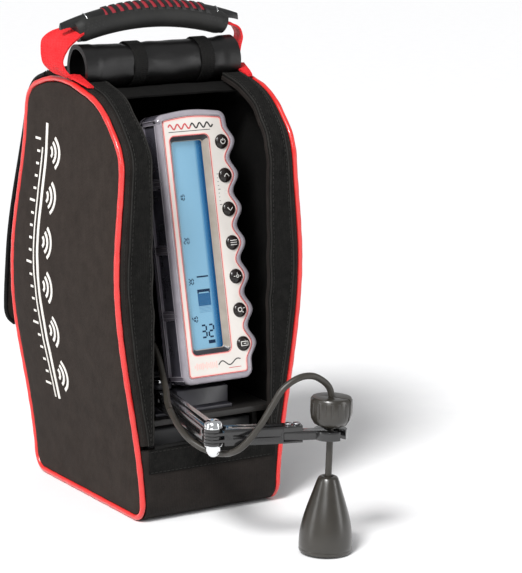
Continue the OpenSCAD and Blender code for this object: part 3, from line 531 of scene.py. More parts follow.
def lcd_material():
    """Back-lit blue panel: pale at the left and deep blue along its right side."""
    mat = shader("lcd", (0.05, 0.08, 0.12), 0.25, Specular_IOR_Level=0.12, Emission_Strength=0.45)
    tree = mat.node_tree
    coords = tree.nodes.new("ShaderNodeTexCoord")
    split = tree.nodes.new("ShaderNodeSeparateXYZ")
    ramp = tree.nodes.new("ShaderNodeValToRGB")
    stops = [(0.13, (0.25, 0.34, 0.42)), (0.19, (0.165, 0.315, 0.425)), (0.69, (0.155, 0.3, 0.415)),
             (0.76, (0.03, 0.135, 0.27)), (0.84, (0.004, 0.05, 0.14))]
    while len(ramp.color_ramp.elements) < len(stops):
        ramp.color_ramp.elements.new(0.5)
    for element, (place, colour) in zip(ramp.color_ramp.elements, stops):
        element.position = place
        element.color = (*colour, 1)
    links = tree.links
    links.new(coords.outputs["Generated"], split.inputs["Vector"])
    links.new(split.outputs["X"], ramp.inputs["Fac"])
    bsdf = tree.nodes["Principled BSDF"]
    links.new(ramp.outputs["Color"], bsdf.inputs["Emission Color"])
    links.new(ramp.outputs["Color"], bsdf.inputs["Base Color"])
    return mat


def segment_material(name, colour, glow, strength, low, high):
    """A dark part of the screen's content, with a faint glow of its own."""
    mat = shader(name, colour, 0.4, Specular_IOR_Level=0.1, Emission_Strength=strength)
    mat.node_tree.nodes["Principled BSDF"].inputs["Emission Color"].default_value = (*glow, 1)
    tint(mat, factor_of(texture(mat, "Noise", 3)), low, high)
    return mat


LCD = lcd_material()
SEGMENT = segment_material("lcd_segment", (0.003, 0.016, 0.045), (0.004, 0.03, 0.09), 0.2,
                           (0.002, 0.012, 0.035), (0.004, 0.018, 0.05))
SEGMENT_MID = segment_material("lcd_echo", (0.02, 0.09, 0.2), (0.03, 0.12, 0.25), 0.4,
                               (0.012, 0.065, 0.15), (0.018, 0.08, 0.18))


# ---- Camera, lights and floor ----

CAMERA_PLACE, CAMERA_YAW, CAMERA_DOWN, CAMERA_LENS = (-940.95, -1726.3, 578.21), 31.142, 11.895, 157.07
SUN_DIRECTION, SUN_POWER, SUN_WIDTH = (-0.78, -0.5, 1.0), 3.1, 16
SKY_COLOUR, SKY_POWER = (0.98, 0.985, 1, 1), 0.42
AREA_LIGHTS = [
    ("key", (-1.3, -1.5, 1.4), (0.7, 0.9), 12), ("side", (-1.9, 0.2, 0.6), (0.4, 1.4), 7),
    ("fill", (1.5, -1.8, 0.7), (0.5, 1.3), 9)]
FLOOR_EDGE, FLOOR_Z = 12000, -0.2


def make_camera():
    data = bpy.data.cameras.new("camera")
    data.sensor_fit = "VERTICAL"
    data.sensor_height = 36
    data.lens = CAMERA_LENS
    yaw, down = math.radians(CAMERA_YAW), math.radians(CAMERA_DOWN)
    forward = Vector((math.sin(yaw) * math.cos(down), math.cos(yaw) * math.cos(down), -math.sin(down)))
    right = Vector((math.cos(yaw), -math.sin(yaw), 0))
    camera = bpy.data.objects.new("camera", data)
    turn = Matrix((right, right.cross(forward), -forward)).transposed()
    camera.matrix_world = Matrix.Translation(Vector(CAMERA_PLACE) * MM) @ turn.to_4x4()
    bpy.context.scene.collection.objects.link(camera)
    bpy.context.scene.camera = camera


def area_light(name, place, aim, size, power):
    data = bpy.data.lights.new(name, "AREA")
    data.shape = "RECTANGLE"
    data.size, data.size_y = size
    data.energy = power
    lamp = bpy.data.objects.new(name, data)
    lamp.location = place
    lamp.rotation_euler = (Vector(aim) - Vector(place)).to_track_quat("-Z", "Y").to_euler()
    bpy.context.scene.collection.objects.link(lamp)


def make_studio():
    world = bpy.data.worlds.new("studio")
    world.use_nodes = True
    world.node_tree.nodes["Background"].inputs["Color"].default_value = SKY_COLOUR
    world.node_tree.nodes["Background"].inputs["Strength"].default_value = SKY_POWER
    bpy.context.scene.world = world
    bpy.context.scene.view_settings.view_transform = "Standard"
    middle = (0, -0.05, 0.18)
    lamp = bpy.data.lights.new("broad_light", "SUN")
    lamp.energy = SUN_POWER
    lamp.angle = math.radians(SUN_WIDTH)
    broad = bpy.data.objects.new("broad_light", lamp)
    broad.rotation_euler = Vector(SUN_DIRECTION).to_track_quat("Z", "Y").to_euler()
    bpy.context.scene.collection.objects.link(broad)
    for name, place, size, power in AREA_LIGHTS:
        area_light(name, place, middle, size, power)
    paint = moulded("floor_paint", (0.88, 0.88, 0.885), (0.9, 0.9, 0.9), 0.8, 40, 0.02)
    corners = [(x * FLOOR_EDGE, y * FLOOR_EDGE, FLOOR_Z) for x, y in ((-1, -1), (1, -1), (1, 1), (-1, 1))]
    floor = made("floor", corners, [(0, 1, 2, 3)], paint)


# ---- Cords ----


def coil_line():
    """Nine turns on and beside each other, wound inwards to start with and out at the bottom."""
    cx, cy = COIL_AT
    outer, middle, inner = COIL_TURN_R
    levels = [COIL_LOW_Z + k * CABLE_D for k in range(3)]
    turns = ([(inner, z) for z in levels[::-1]] + [(middle, z) for z in levels]
             + [(outer, z) for z in levels[::-1]])
    out = [(x, *GLAND[1:]) for x in (17, 8, -2)]
    steps = 24
    crossing = 30
    over_z = GLAND[2]
    for k in range(crossing):
        t = k / crossing
        a = math.radians(90 + 450 * t)
        r = lerp(outer, inner, float(ease(t / 0.75)))
        z = lerp(over_z, levels[2], float(ease((t - 0.8) / 0.2)))
        out.append((cx + r * math.cos(a), cy + r * math.sin(a), z))
    for i, (r, z) in enumerate(turns):
        last = i == len(turns) - 1
        next_r, next_z = (r, z) if last else turns[i + 1]
        for k in range(steps):
            t = k / steps
            a = math.radians(180 + 360 * t)
            rise = float(ease((t - 0.66) / 0.17))
            shift = float(ease((t - 0.83) / 0.17))
            rr, zz = lerp(r, next_r, shift), lerp(z, next_z, rise)
            out.append((cx + rr * math.cos(a), cy + rr * math.sin(a), zz))
    out += [(cx - outer, cy, levels[0]), (cx - outer, cy - 10, levels[0] + 0.2), ENTRY_PATH[0]]
    return resampled(out, 2.5)


def cord_piece(name, line, node, bodies, with_pieces=()):
    """One stretch of the cable, shown in place of its CAD tube."""
    piece = tube(name, line, CABLE_D / 2, JACKET, sides=14)
    if len(bodies) == 1:
        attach(piece, bodies[0])
    else:
        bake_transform(piece)
    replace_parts(piece, node)
    return piece


def transducer_place():
    return (Matrix.Translation(Vector(CONE_FOOT) * MM)
            @ Matrix.Rotation(math.radians(CONE_LEAN), 4, "Y"))


def on_axis(s):
    lean = math.radians(CONE_LEAN)
    return (CONE_FOOT[0] + s * math.sin(lean), CONE_FOOT[1], CONE_FOOT[2] + s * math.cos(lean))


def coil_tie():
    """A flat tie through the coil."""
    x, half, t = COIL_AT[0] + 28, 8.3, 1.2
    z = COIL_LOW_Z + CABLE_D
    ring = [(x + sx * half, COIL_AT[1], z + sz * half)
            for sx, sz in ((1, -0.75), (1, 0.75), (0.75, 1), (-0.75, 1), (-1, 0.75), (-1, -0.75),
                           (-0.75, -1), (0.75, -1))]
    rings = []
    for p in ring:
        out = np.array([p[0] - x, 0, p[2] - z])
        out = out / np.linalg.norm(out) * t
        rings.append([np.array(p) + np.array([0, sy * 2.4, 0]) + so * out
                      for sy, so in ((-1, 0), (1, 0), (1, 1), (-1, 1))])
    band = loft("coil_tie", rings, BLACK_PLASTIC, wrap=True)
    return put(band, "bag", "black_plastic", "cable_tie")


def display_matrix():
    return (Matrix.Translation(Vector(DISPLAY_POS) * MM)
            @ Matrix.Rotation(math.radians(90 - DISPLAY_LEAN), 4, "X"))


def lead_plug():
    """Round plug with grip rings and a tapered sleeve, standing out behind the housing."""
    profile = [(0, -34.1), (6.2, -34.1), (6.9, -34.8), (6.9, -36), (6.4, -36.4)]
    for k in range(3):
        low = -36.6 - k * 2.2
        profile += [(6.4, low), (6.9, low - 0.4), (6.9, low - 1.4), (6.4, low - 1.8)]
    profile += [(5.4, -44.6), (4.9, -46.1)]
    for k in range(4):
        low = -46.6 - k * 2.7
        r = lerp(4.7, 3.5, k / 3)
        profile += [(r, low), (r, low - 1.6), (r - 0.5, low - 1.8), (r - 0.5, low - 2.5)]
    profile += [(2.9, -57.6), (0, -57.6)]
    plug = lathe("lead_plug_piece", profile, BLACK_PLASTIC,
                 display_matrix() @ Matrix.Translation(Vector((29, 45, 0)) * MM))
    return put(plug, "display", "black_plastic", "lead_plug")


def make_cords():
    tie = coil_tie()
    coil = coil_line()
    cord_piece("stowed_coil", coil, "cable_coil", ["bag"], [tie])
    entry = smooth_line(ENTRY_PATH)
    cord_piece("cable_run_in", entry, "cable_entry", ["bag", "arm_inner"])
    sweep = smooth_line(SWEEP_PATH)
    cord_piece("cable_round_elbow", sweep, "cable_sweep", ["arm_inner", "arm_outer"])
    arc = smooth_line(ARC_PATH)
    cord_piece("cable_over_stopper", arc, "cable_arc", ["arm_outer", "transducer"])
    drop = [on_axis(s) for s in np.linspace(DROP_LOW, STOPPER_TOP, 16)]
    cord_piece("cable_drop_run", drop, "cable_drop", ["transducer"])
    lead = smooth_line(LEAD_PATH)
    cord_piece("display_lead", lead, "cable_lead", ["display", "bag"],
               [lead_plug()])


# ---- Bag ----

def repaint(obj, material, picks):
    """Gives material to the faces that picks() takes."""
    obj.data.materials.append(material)
    for face in obj.data.polygons:
        if picks(face):
            face.material_index = len(obj.data.materials) - 1


def slab(name, outer, inner, material, smooth=45, painted_shade_cloth=None):
    """A closed sheet between two grids of points that match."""
    rows, cols = outer.shape[:2]
    points = np.concatenate([outer.reshape(-1, 3), inner.reshape(-1, 3)])
    count = rows * cols
    top = ring_faces(rows, cols, wrap_cols=False)
    faces = top + [tuple(count + k for k in f[::-1]) for f in top]
    faced = len(top)
    border = ([(i, 0) for i in range(rows)] + [(rows - 1, j) for j in range(1, cols)]
              + [(i, cols - 1) for i in range(rows - 2, -1, -1)]
              + [(0, j) for j in range(cols - 2, 0, -1)])
    edge = [i * cols + j for i, j in border]
    for k, a in enumerate(edge):
        b = edge[(k + 1) % len(edge)]
        faces.append((a, b, count + b, count + a))
    obj = made(name, points, faces, material, smooth)
    # Inner faces in the near-black cloth: painted shade inside the bag.
    if painted_shade_cloth is not None:
        repaint(obj, painted_shade_cloth, lambda f: faced <= f.index < 2 * faced)
    return obj


def side_edges(z):
    """Front and back of the side panel at each height z."""
    points = rounded(inset_corners(BAG_CORNERS, SIDE_INSET), 24)
    peak = int(np.argmax(points[:, 1]))
    front, back = points[:peak + 1], points[peak:][::-1]
    return np.interp(z, front[:, 1], front[:, 0]), np.interp(z, back[:, 1], back[:, 0])


def panel_x(y, z, edge):
    """Outer face of a side panel: padded, pulled in at its seam and slightly creased."""
    puff = 1.7 * (1 - math.exp(-edge / 16)) - 1.7 * math.exp(-edge / 3)
    crease = 0.9 * wave_noise(y * 0.8, z * 0.5, 11, 60) + 0.35 * wave_noise(y, z, 3, 22)
    return float(half_w(z)) + puff + crease * (1 - math.exp(-edge / 9))


def edge_distance(y, z, border):
    return float(np.sqrt(((border - (y, z)) ** 2).sum(1).min()))


def side_panel(side, name, node):
    rows, cols = 96, 44
    low, high = SIDE_INSET, float(outline(SIDE_INSET)[:, 1].max())
    zs = lerp(low, high, 0.5 * (1 - np.cos(np.linspace(0, math.pi, rows))))
    across = 0.5 * (1 - np.cos(np.linspace(0, math.pi, cols)))
    front, back = side_edges(zs)
    border = outline(SIDE_INSET, 1.5)
    outer = np.zeros((rows, cols, 3))
    for i, z in enumerate(zs):
        for j, c in enumerate(across):
            y = lerp(front[i], back[i], c)
            outer[i, j] = (side * panel_x(y, z, edge_distance(y, z, border)), y, z)
    inner = outer.copy()
    inner[:, :, 0] = side * (half_w(outer[:, :, 2]) - PANEL_T)
    return put(slab(name, outer, inner, BAG_CLOTH, painted_shade_cloth=PAINTED_SHADE_CLOTH), "bag", "bag_fabric", node)


def along_outline(keep, step=4.0):
    """The stretch of the bag's outline that keep() picks, and its inward directions."""
    p = outline(0, step)
    ahead = np.roll(p, -1, axis=0) - np.roll(p, 1, axis=0)
    ahead /= np.linalg.norm(ahead, axis=1)[:, None]
    inward = np.stack([ahead[:, 1], -ahead[:, 0]], axis=1)
    chosen = [k for k in range(len(p)) if keep(*p[k])]
    gap = next((i for i in range(1, len(chosen)) if chosen[i] - chosen[i - 1] != 1), 0)
    chosen = chosen[gap:] + chosen[:gap]
    return p[chosen], inward[chosen]


def on_front(y, z):
    return LIP_H <= z and y <= OPENING_TOP_Y


def strip_grid(places, inward, span, lift, cols=14):
    """A grid across the bag's outline, from span's two sides and lift's height at each point."""
    grid = np.zeros((len(places), cols, 3))
    for i, ((y, z), n) in enumerate(zip(places, inward)):
        x0, x1 = span(y, z, i)
        for j in range(cols):
            t = j / (cols - 1)
            x = lerp(x0, x1, t)
            out = lift(x, y, z, t)
            grid[i, j] = (x, y - n[0] * out, z - n[1] * out)
    return grid


def seam_half(z):
    return float(half_w(z)) - PANEL_T - 0.1


def rounded_edge(t, width, radius=1.2):
    """How far a strip's face sinks near its sides."""
    near = min(t, 1 - t) * width
    return radius * math.exp(-near / radius)


def gusset_band():
    """Roof, back, floor and front lip in one length, as it is sewn."""
    places, inward = along_outline(lambda y, z: not (z > LIP_H and y < ROOF_FRONT_Y))

    def lift(x, y, z, t):
        soft = float(ease((z - 2) / 26))
        crease = 0.7 * wave_noise(x * 0.7, y * 0.6, z * 0.6, 40) + 0.3 * wave_noise(x, y, z, 16)
        return soft * (0.5 + crease - rounded_edge(t, 110, 2.0)) - 0.15 * (1 - soft)

    def span(y, z, i):
        return -seam_half(z), seam_half(z)

    outer = strip_grid(places, inward, span, lift, 40)
    inner = strip_grid(places, inward, span, lambda x, y, z, t: -GUSSET_T, 40)
    band = slab("gusset_band", outer, inner, GUSSET_CLOTH, painted_shade_cloth=PAINTED_SHADE_CLOTH)
    put(band, "bag", "black_fabric", "bag_bottom_panel", "bag_back_panel", "bag_top_panel",
        "bag_front_lower_panel")


def opening_edge(y, z):
    """The opening's side, a little wavy because it is soft."""
    return OPENING_HALF + 2.5 + 2.2 * wave_noise(0, y, z, 46) + 0.7 * wave_noise(0, y, z, 17)


def stitches(name, line, up, body, pitch=3.6, length=2.5, width=0.34):
    """A row of thread stitches along a line; up gives the outward direction at each point."""
    line = np.array(line, float)
    along = np.concatenate([[0], np.cumsum(np.linalg.norm(np.diff(line, axis=0), axis=1))])
    points, faces = [], []
    for k in range(int(along[-1] / pitch)):
        ends = []
        for at in (k * pitch, k * pitch + length):
            p = np.array([np.interp(at, along, line[:, c]) for c in range(3)])
            n = np.array([np.interp(at, along, up[:, c]) for c in range(3)])
            ends.append((p, n / np.linalg.norm(n)))
        (a, na), (b, nb) = ends
        t = (b - a) / np.linalg.norm(b - a)
        for share, size in ((0, 0.35), (0.18, 1), (0.82, 1), (1, 0.35)):
            p, n = lerp(a, b, share), lerp(na, nb, share)
            side = np.cross(t, n)
            for m in range(6):
                turn = 2 * math.pi * m / 6
                points.append(p + width * size * (math.cos(turn) * side + 0.8 * math.sin(turn) * n))
        base = k * 24
        faces += ring_faces(4, 6, start=base)
        faces += [tuple(base + m for m in range(5, -1, -1)), tuple(base + 18 + m for m in range(6))]
    obj = made(name, points, faces, THREAD, 60)
    put(obj, body)


def strip_line(places, inward, side, x_at, out):
    line = [(side * x_at(y, z), y - n[0] * out, z - n[1] * out) for (y, z), n in zip(places, inward)]
    up = [(0, -n[0], -n[1]) for n in inward]
    return np.array(line), np.array(up)


def front_edge(side, name, node):
    """Padded strip beside the opening, with its hook and loop strip, selvages and stitching."""
    places, inward = along_outline(on_front, 3.0)

    def span(y, z, i):
        return side * opening_edge(y, z), side * seam_half(z)

    def lift(x, y, z, t):
        width = seam_half(z) - OPENING_HALF
        return 0.3 + 0.5 * wave_noise(x, y, z, 26) - rounded_edge(t, width, 1.6)

    outer = strip_grid(places, inward, span, lift, 16)
    inner = strip_grid(places, inward, span, lambda x, y, z, t: -GUSSET_T + rounded_edge(t, 20, 1.6), 16)
    strip = slab("front_edge_" + name, outer, inner, GUSSET_CLOTH, painted_shade_cloth=PAINTED_SHADE_CLOTH)
    put(strip, "bag", "black_fabric", node)

    def loop_outer(y, z):
        return float(half_w(z)) - 10 + 0.8 * wave_noise(5, y, z, 30)

    def loop_span(y, z, i):
        return side * (opening_edge(y, z) + 0.4), side * loop_outer(y, z)

    def loop_lift(x, y, z, t):
        pile = 0.35 * wave_noise(x, y, z, 5)
        return 1.55 + pile + 0.3 * wave_noise(x, y, z, 24) - rounded_edge(t, 20, 0.7)

    top = strip_grid(places, inward, loop_span, loop_lift, 18)
    under = strip_grid(places, inward, loop_span, lambda x, y, z, t: -0.2, 18)
    pile = put(slab("loop_strip_" + name, top, under, LOOP_PILE), "bag", "loop_fabric")
    for part, x_at in (("in", lambda y, z: opening_edge(y, z) + 1.1),
                       ("out", lambda y, z: loop_outer(y, z) - 0.7)):
        line, _ = strip_line(places, inward, side, x_at, 1.35)
        edge = tube("selvage_%s_%s" % (name, part), line, 0.75, SELVAGE, sides=8, squeeze=0.6,
                    up=(1, 0, 0))
        put(edge, "bag", "loop_fabric")
        inset = 1.9 if part == "in" else -1.9
        line, up = strip_line(places, inward, side, lambda y, z: x_at(y, z) + inset, 1.75)
        stitches("stitch_%s_%s" % (name, part), line, up, "bag")
    line, up = strip_line(places, inward, side, lambda y, z: seam_half(z) - 2.4, 0.35)
    stitches("stitch_%s_seam" % name, line, up, "bag")
    return pile


def lip_band():
    """Hook and loop band across the front lip, and its stitching."""
    low, high = 40, 59
    places = [(FRONT_Y, z) for z in np.linspace(low, high, 10)]
    inward = [(1, 0)] * len(places)
    half = float(half_w(low)) - 8.5

    def lift(x, y, z, t):
        pile = 0.3 * wave_noise(x, y, z, 5)
        return 1.35 + pile + 0.3 * wave_noise(x, 3, z, 22) - rounded_edge(t, 100, 0.7)

    top = strip_grid(places, inward, lambda y, z, i: (-half, half), lift, 60)
    under = strip_grid(places, inward, lambda y, z, i: (-half, half), lambda x, y, z, t: -0.3, 60)
    put(slab("loop_band_lip", top, under, LOOP_PILE), "bag", "loop_fabric")
    for k, z in enumerate((low + 1.3, high - 1.3)):
        line = np.array([(x, FRONT_Y - 1.75, z) for x in np.linspace(-half + 1, half - 1, 60)])
        stitches("stitch_lip_%d" % (k + 1), line, np.array([(0, -1, 0)] * 60), "bag")
    line = [(x, FRONT_Y + 0.2 - 0.6 * math.cos(x / 9), LIP_H + 0.2) for x in np.linspace(-52, 52, 50)]
    hem = tube("lip_hem", line, 2.2, TAPE, sides=10, squeeze=0.7, up=(0, 0, 1))
    put(hem, "bag", "black_fabric")


def piping(side, name):
    """Sewn piping cord with its puckered seam."""
    path = [(side * (float(half_w(z)) - PIPING_INSET + 0.1), y, z) for y, z in outline(PIPING_INSET, 2.5)]
    turns = np.arange(len(path))
    radius = PIPING_R + 0.14 * np.sin(turns * 0.9) * np.sin(turns * 0.23)
    cord = tube(name, path, radius, PIPING, sides=12, closed=True, up=(1, 0, 0))
    return put(cord, "bag", "red_piping")


def panel_mark(points, width, lift=0.45):
    """Points of one printed line on the left panel, from its centreline in [y, z]."""
    border = outline(SIDE_INSET, 4)
    line = smooth_line(points, 3.0) if len(points) > 2 else resampled(points, 3.0)
    ahead = np.gradient(line, axis=0)
    ahead /= np.linalg.norm(ahead, axis=1)[:, None]
    side = np.stack([-ahead[:, 1], ahead[:, 0]], axis=1)
    rings = []
    for p, n in zip(line, side):
        ring = []
        for s, out in ((-1, -0.3), (-1, lift), (1, lift), (1, -0.3)):
            y, z = p + n * s * width / 2
            ring.append((-(panel_x(y, z, edge_distance(y, z, border)) + out), y, z))
        rings.append(ring)
    return rings


def panel_print():
    """A plain depth scale with echo arcs, printed on the left panel."""
    parts = []

    def mark(points, width):
        parts.append(loft("mark", panel_mark(points, width), PRINT_WHITE))

    def spine(z):
        return 22 + 10 * math.sin((z - 60) / 240 * math.pi)

    heights = np.linspace(76, 300, 12)
    mark([(spine(z), z) for z in heights], 3.4)
    mark([(spine(z) + 7, z) for z in heights[:-1]], 1.6)
    for k in range(21):
        z = 86 + k * 10
        long_tick = k % 5 == 0
        y = spine(z) + 11
        mark([(y, z), (y + (9 if long_tick else 4.5), z)], 1.8)
    for k in range(6):
        z = 98 + k * 36
        for reach in (6, 12, 18):
            y = spine(z) - 5
            arc = [(y - reach * math.cos(a), z + 0.85 * reach * math.sin(a))
                   for a in np.linspace(-0.9, 0.9, 7)]
            mark(arc, 2.6)
    put(joined("panel_graphic", parts), "bag")


# ---- Front cover, flap and handle ----

def cover_roll():
    """The front cover as one sheet: sewn to the roof, led under the roll and rolled up."""
    turns, steps = 2.85, 200
    inner_r, outer_r, thick = ROLL_R - ROLL_WALL + 0.5, ROLL_R - 0.75, 1.05
    spiral = []
    for k in range(steps + 1):
        t = k / steps
        a = math.radians(-90) - 2 * math.pi * turns * (1 - t)
        r = lerp(inner_r, outer_r, t)
        spiral.append((r, a))
    shares = [np.linspace(0, 0.1, 8, endpoint=False), np.linspace(0.1, 0.9, 56, endpoint=False),
              np.linspace(0.9, 1, 9)]
    xs = np.concatenate(shares) * ROLL_LEN + 1 - ROLL_LEN / 2

    def swell(x, a):
        end = min(x - xs[0], xs[-1] - x)
        hem = 0.7 * float(ease((13 - end) / 2))
        tied = sum(math.exp(-((x - c - TIE_W / 2) / 9) ** 2) for c in TIE_X)
        pucker = 1.5 * tied * wave_noise(x * 0.7, 9 * math.cos(a), 9 * math.sin(a), 6)
        fold = wave_noise(x * 0.45, 14 * math.cos(a), 14 * math.sin(a), 16)
        return hem - 0.75 * tied + pucker + fold

    outer, inner = [], []
    for r, a in spiral:
        row_out, row_in = [], []
        for x in xs:
            for row, depth in ((row_out, thick / 2), (row_in, -thick / 2)):
                rr = r + swell(x, a) + depth
                row.append((x, ROLL_Y + rr * math.cos(a), ROLL_Z + rr * math.sin(a)))
        outer.append(row_out)
        inner.append(row_in)
    tail = smooth_line([(ROLL_Y + 3, ROLL_Z - outer_r), (ROLL_Y + 9, ROLL_Z - outer_r + 1),
                        (ROLL_Y + 15, ROLL_Z - outer_r + 4.5), (ROOF_FRONT_Y + 5, BAG_H - 3)], 3.0)
    for y, z in tail:
        outer.append([(x, y, z - thick / 2) for x in xs])
        inner.append([(x, y, z + thick / 2) for x in xs])
    sheet = slab("rolled_cover", np.array(outer), np.array(inner), NYLON, 60)
    put(sheet, "bag", "nylon", "rolled_front_cover")


def roof_facing():
    """Fabric edge in near-black cloth, a painted shade under the roll, that runs from the roof under the
    roll to the top of the opening.
    """
    path = smooth_line([(ROOF_FRONT_Y + 4, 335.5), (5, 328.5), (-6, 326.3), (-18, 327.6), (-27, 327),
                        (-36, 322.5)], 2.5)
    cols = 40
    outer, inner = np.zeros((len(path), cols, 3)), np.zeros((len(path), cols, 3))
    ahead = np.gradient(path, axis=0)
    ahead /= np.linalg.norm(ahead, axis=1)[:, None]
    for i, ((y, z), (ty, tz)) in enumerate(zip(path, ahead)):
        for j in range(cols):
            c = 2 * j / (cols - 1) - 1
            x = c * 63
            droop = -3.5 * (1 - c * c) * i / len(path)
            fold = 0.6 * wave_noise(x, y, z, 15)
            outer[i, j] = (x, y - tz * 0.8, z + ty * 0.8 + fold - droop * 0.3)
            inner[i, j] = (x, y + tz * 0.8, z - ty * 0.8 + fold - droop * 0.3)
    put(slab("roof_facing", outer, inner, PAINTED_SHADE_CLOTH), "bag", "black_fabric")


def roll_tie(k, x):
    """Webbing band round the roll."""
    line = []
    for m in range(60):
        a = 2 * math.pi * m / 60
        r = ROLL_R - 0.15 + 0.4 * wave_noise(x, 8 * math.cos(a), 8 * math.sin(a), 8)
        line.append((r, a))
    rings = []
    for r, a in line:
        ring = []
        for dx, dr in ((0, -0.3), (0.4, 0.5), (TIE_W - 0.4, 0.5), (TIE_W, -0.3)):
            ring.append((x + dx, ROLL_Y + (r + dr) * math.cos(a), ROLL_Z + (r + dr) * math.sin(a)))
        rings.append(ring)
    band = loft("roll_tie_%d" % (k + 1), rings, TAPE, wrap=True)
    return put(band, "bag", "nylon")


def flap_hang(z):
    """How far the flap stands off the bag's back as it hangs from its seam."""
    return 15 * float(ease((330 - z) / 150))


def flap_half(z):
    """Half width of the rear flap, with rounded lower corners."""
    corner = 14
    drop = max(0.0, FLAP_LOW + corner - z)
    return FLAP_W / 2 - corner + math.sqrt(max(corner ** 2 - drop ** 2, 0)) + 0.27 * flap_hang(z)


def rear_flap():
    """Padded flap that lies over the back, edged with tape."""
    places, inward = along_outline(lambda y, z: y > FLAP_Y and z > FLAP_LOW, 3.5)

    def span(y, z, i):
        half = flap_half(z) - 1
        return -half, half

    def lift(x, y, z, t):
        edge = min(t, 1 - t) * 2 * flap_half(z)
        end = min(z - FLAP_LOW, 60)
        fill = (1 - math.exp(-edge / 8)) * (1 - math.exp(-end / 8))
        crease = 0.9 * wave_noise(x, y, z, 42) + 0.4 * wave_noise(x, y, z, 15)
        return flap_hang(z) + FLAP_GAP + 2.6 + 4.2 * fill + crease * fill

    outer = strip_grid(places, inward, span, lift, 44)
    inner = strip_grid(places, inward, span, lambda x, y, z, t: flap_hang(z) + FLAP_GAP + 0.1, 44)
    pad = put(slab("flap_pad", outer, inner, BAG_CLOTH), "flap", "black_fabric", "rear_flap")
    mid = (outer + inner) / 2
    edge = np.concatenate([mid[:, 0], mid[-1, 1:-1], mid[::-1, -1]])
    tape = tube("flap_binding", resampled(edge, 3.0), 2.1, TAPE, sides=10, squeeze=0.8, up=(1, 0, 0))
    put(tape, "flap", "black_fabric")
    for side, name in ((-1, "left"), (1, "right")):
        line, up = [], []
        for (y, z), n in zip(places[:-3], inward[:-3]):
            x = side * (flap_half(z) - 7)
            out = lift(x, y, z, 7 / (2 * flap_half(z))) + 0.1
            line.append((x, y - n[0] * out, z - n[1] * out))
            up.append((0, -n[0], -n[1]))
        stitches("flap_stitch_" + name, line, np.array(up), "flap")


def blade_z(x):
    return BLADE_TOP_Z - (BLADE_TOP_Z - BLADE_TIP_Z) * (x / BLADE_TIP_X) ** 2


def cap_profile(x, grow=0.0):
    """Cross-section of the grip's hard upper cap at x, as [y, z]."""
    t = abs(x) / BLADE_TIP_X
    wide = lerp(7.2, 1.6, float(ease((t - 0.62) / 0.38))) + grow
    deep = lerp(8.6, 5.2, float(ease((t - 0.7) / 0.3)))
    top = blade_z(x) + grow
    shape = [(-1, -1), (-0.97, -0.72), (-0.78, -0.36), (-0.42, -0.1), (0, 0), (0.42, -0.1), (0.78, -0.36),
             (0.97, -0.72), (1, -1), (0, -1.02)]
    return [(GRIP_Y + a * wide, top + b * deep) for a, b in shape]


def grip():
    """Soft moulded grip, hard cap with pointed ends, ribs over a red inlay, rings and dimples."""
    centre_z = GRIP_MID_Z - GRIP_ARC_R
    half_turn = math.asin(GRIP_HALF / GRIP_ARC_R)
    rings = []
    for k in range(61):
        t = 2 * k / 60 - 1
        a = t * half_turn
        r = GRIP_R * (1 - 0.16 * float(ease((abs(t) - 0.9) / 0.1)))
        ring = []
        for m in range(36):
            b = 2 * math.pi * m / 36
            reach = GRIP_ARC_R + r * math.cos(b)
            y = GRIP_Y + r * 0.97 * math.sin(b)
            ring.append((reach * math.sin(a), y, centre_z + reach * math.cos(a)))
        rings.append(ring)
    put(loft("grip_body", rings, GRIP, smooth=50), "handle", "grip_rubber", "handle_grip")

    xs = np.linspace(-BLADE_TIP_X + 0.3, BLADE_TIP_X - 0.3, 81)
    cap = loft("grip_cap", [[(x, y, z) for y, z in cap_profile(x)] for x in xs], GRIP_DARK, smooth=32)
    put(cap, "handle", "grip_rubber")

    inlay = [[(x, y, z) for y, z in cap_profile(x, 0.3)] for x in np.linspace(-43, 48, 40)]
    put(loft("grip_inlay", inlay, GRIP_RED, smooth=50), "handle")
    ribs = []
    first, pitch, width, slant = -42.5, 7.15, 3.6, 0.42
    for k in range(13):
        rings = []
        for x in np.linspace(first + k * pitch, first + k * pitch + width, 4):
            top = blade_z(x)
            rings.append([(x + slant * (top - z), y, z) for y, z in cap_profile(x, 1.0)])
        ribs.append(loft("rib", rings, GRIP_DARK, smooth=25))
    put(joined("grip_ribs", ribs), "handle", "grip_rubber")
    for side, name in ((-1, "left"), (1, "right")):
        x0 = side * 59
        line = [(x0 + side * -0.3 * (blade_z(x0) - z), y, z) for y, z in cap_profile(x0, 0.35)[:9]]
        ring = tube("grip_ring_" + name, smooth_line(line, 1.0), 0.38, CHROME, sides=8)
        put(ring, "handle", "bright_metal")
    dots = []
    dimple = [(0, 0.02), (0.55, 0.06), (0.72, -0.05), (0.5, -0.4), (0, -0.5)]
    for side in (-1, 1):
        for row in range(3):
            for k in range(6):
                a = side * (half_turn * (0.66 + 0.05 * k) + 0.006 * row)
                b = math.radians(-62 - 13 * row)
                reach = GRIP_ARC_R + GRIP_R * math.cos(b)
                y = GRIP_Y + GRIP_R * 0.97 * math.sin(b)
                at = Vector((reach * math.sin(a), y, centre_z + reach * math.cos(a)))
                out = Vector((0, math.sin(b), math.cos(b))).to_track_quat("Z", "Y").to_matrix().to_4x4()
                place = Matrix.Translation(at * MM) @ out
                dots.append(lathe("dot", dimple, GRIP_DARK, place, n=10))
    put(joined("grip_dimples", dots), "handle", "grip_rubber")


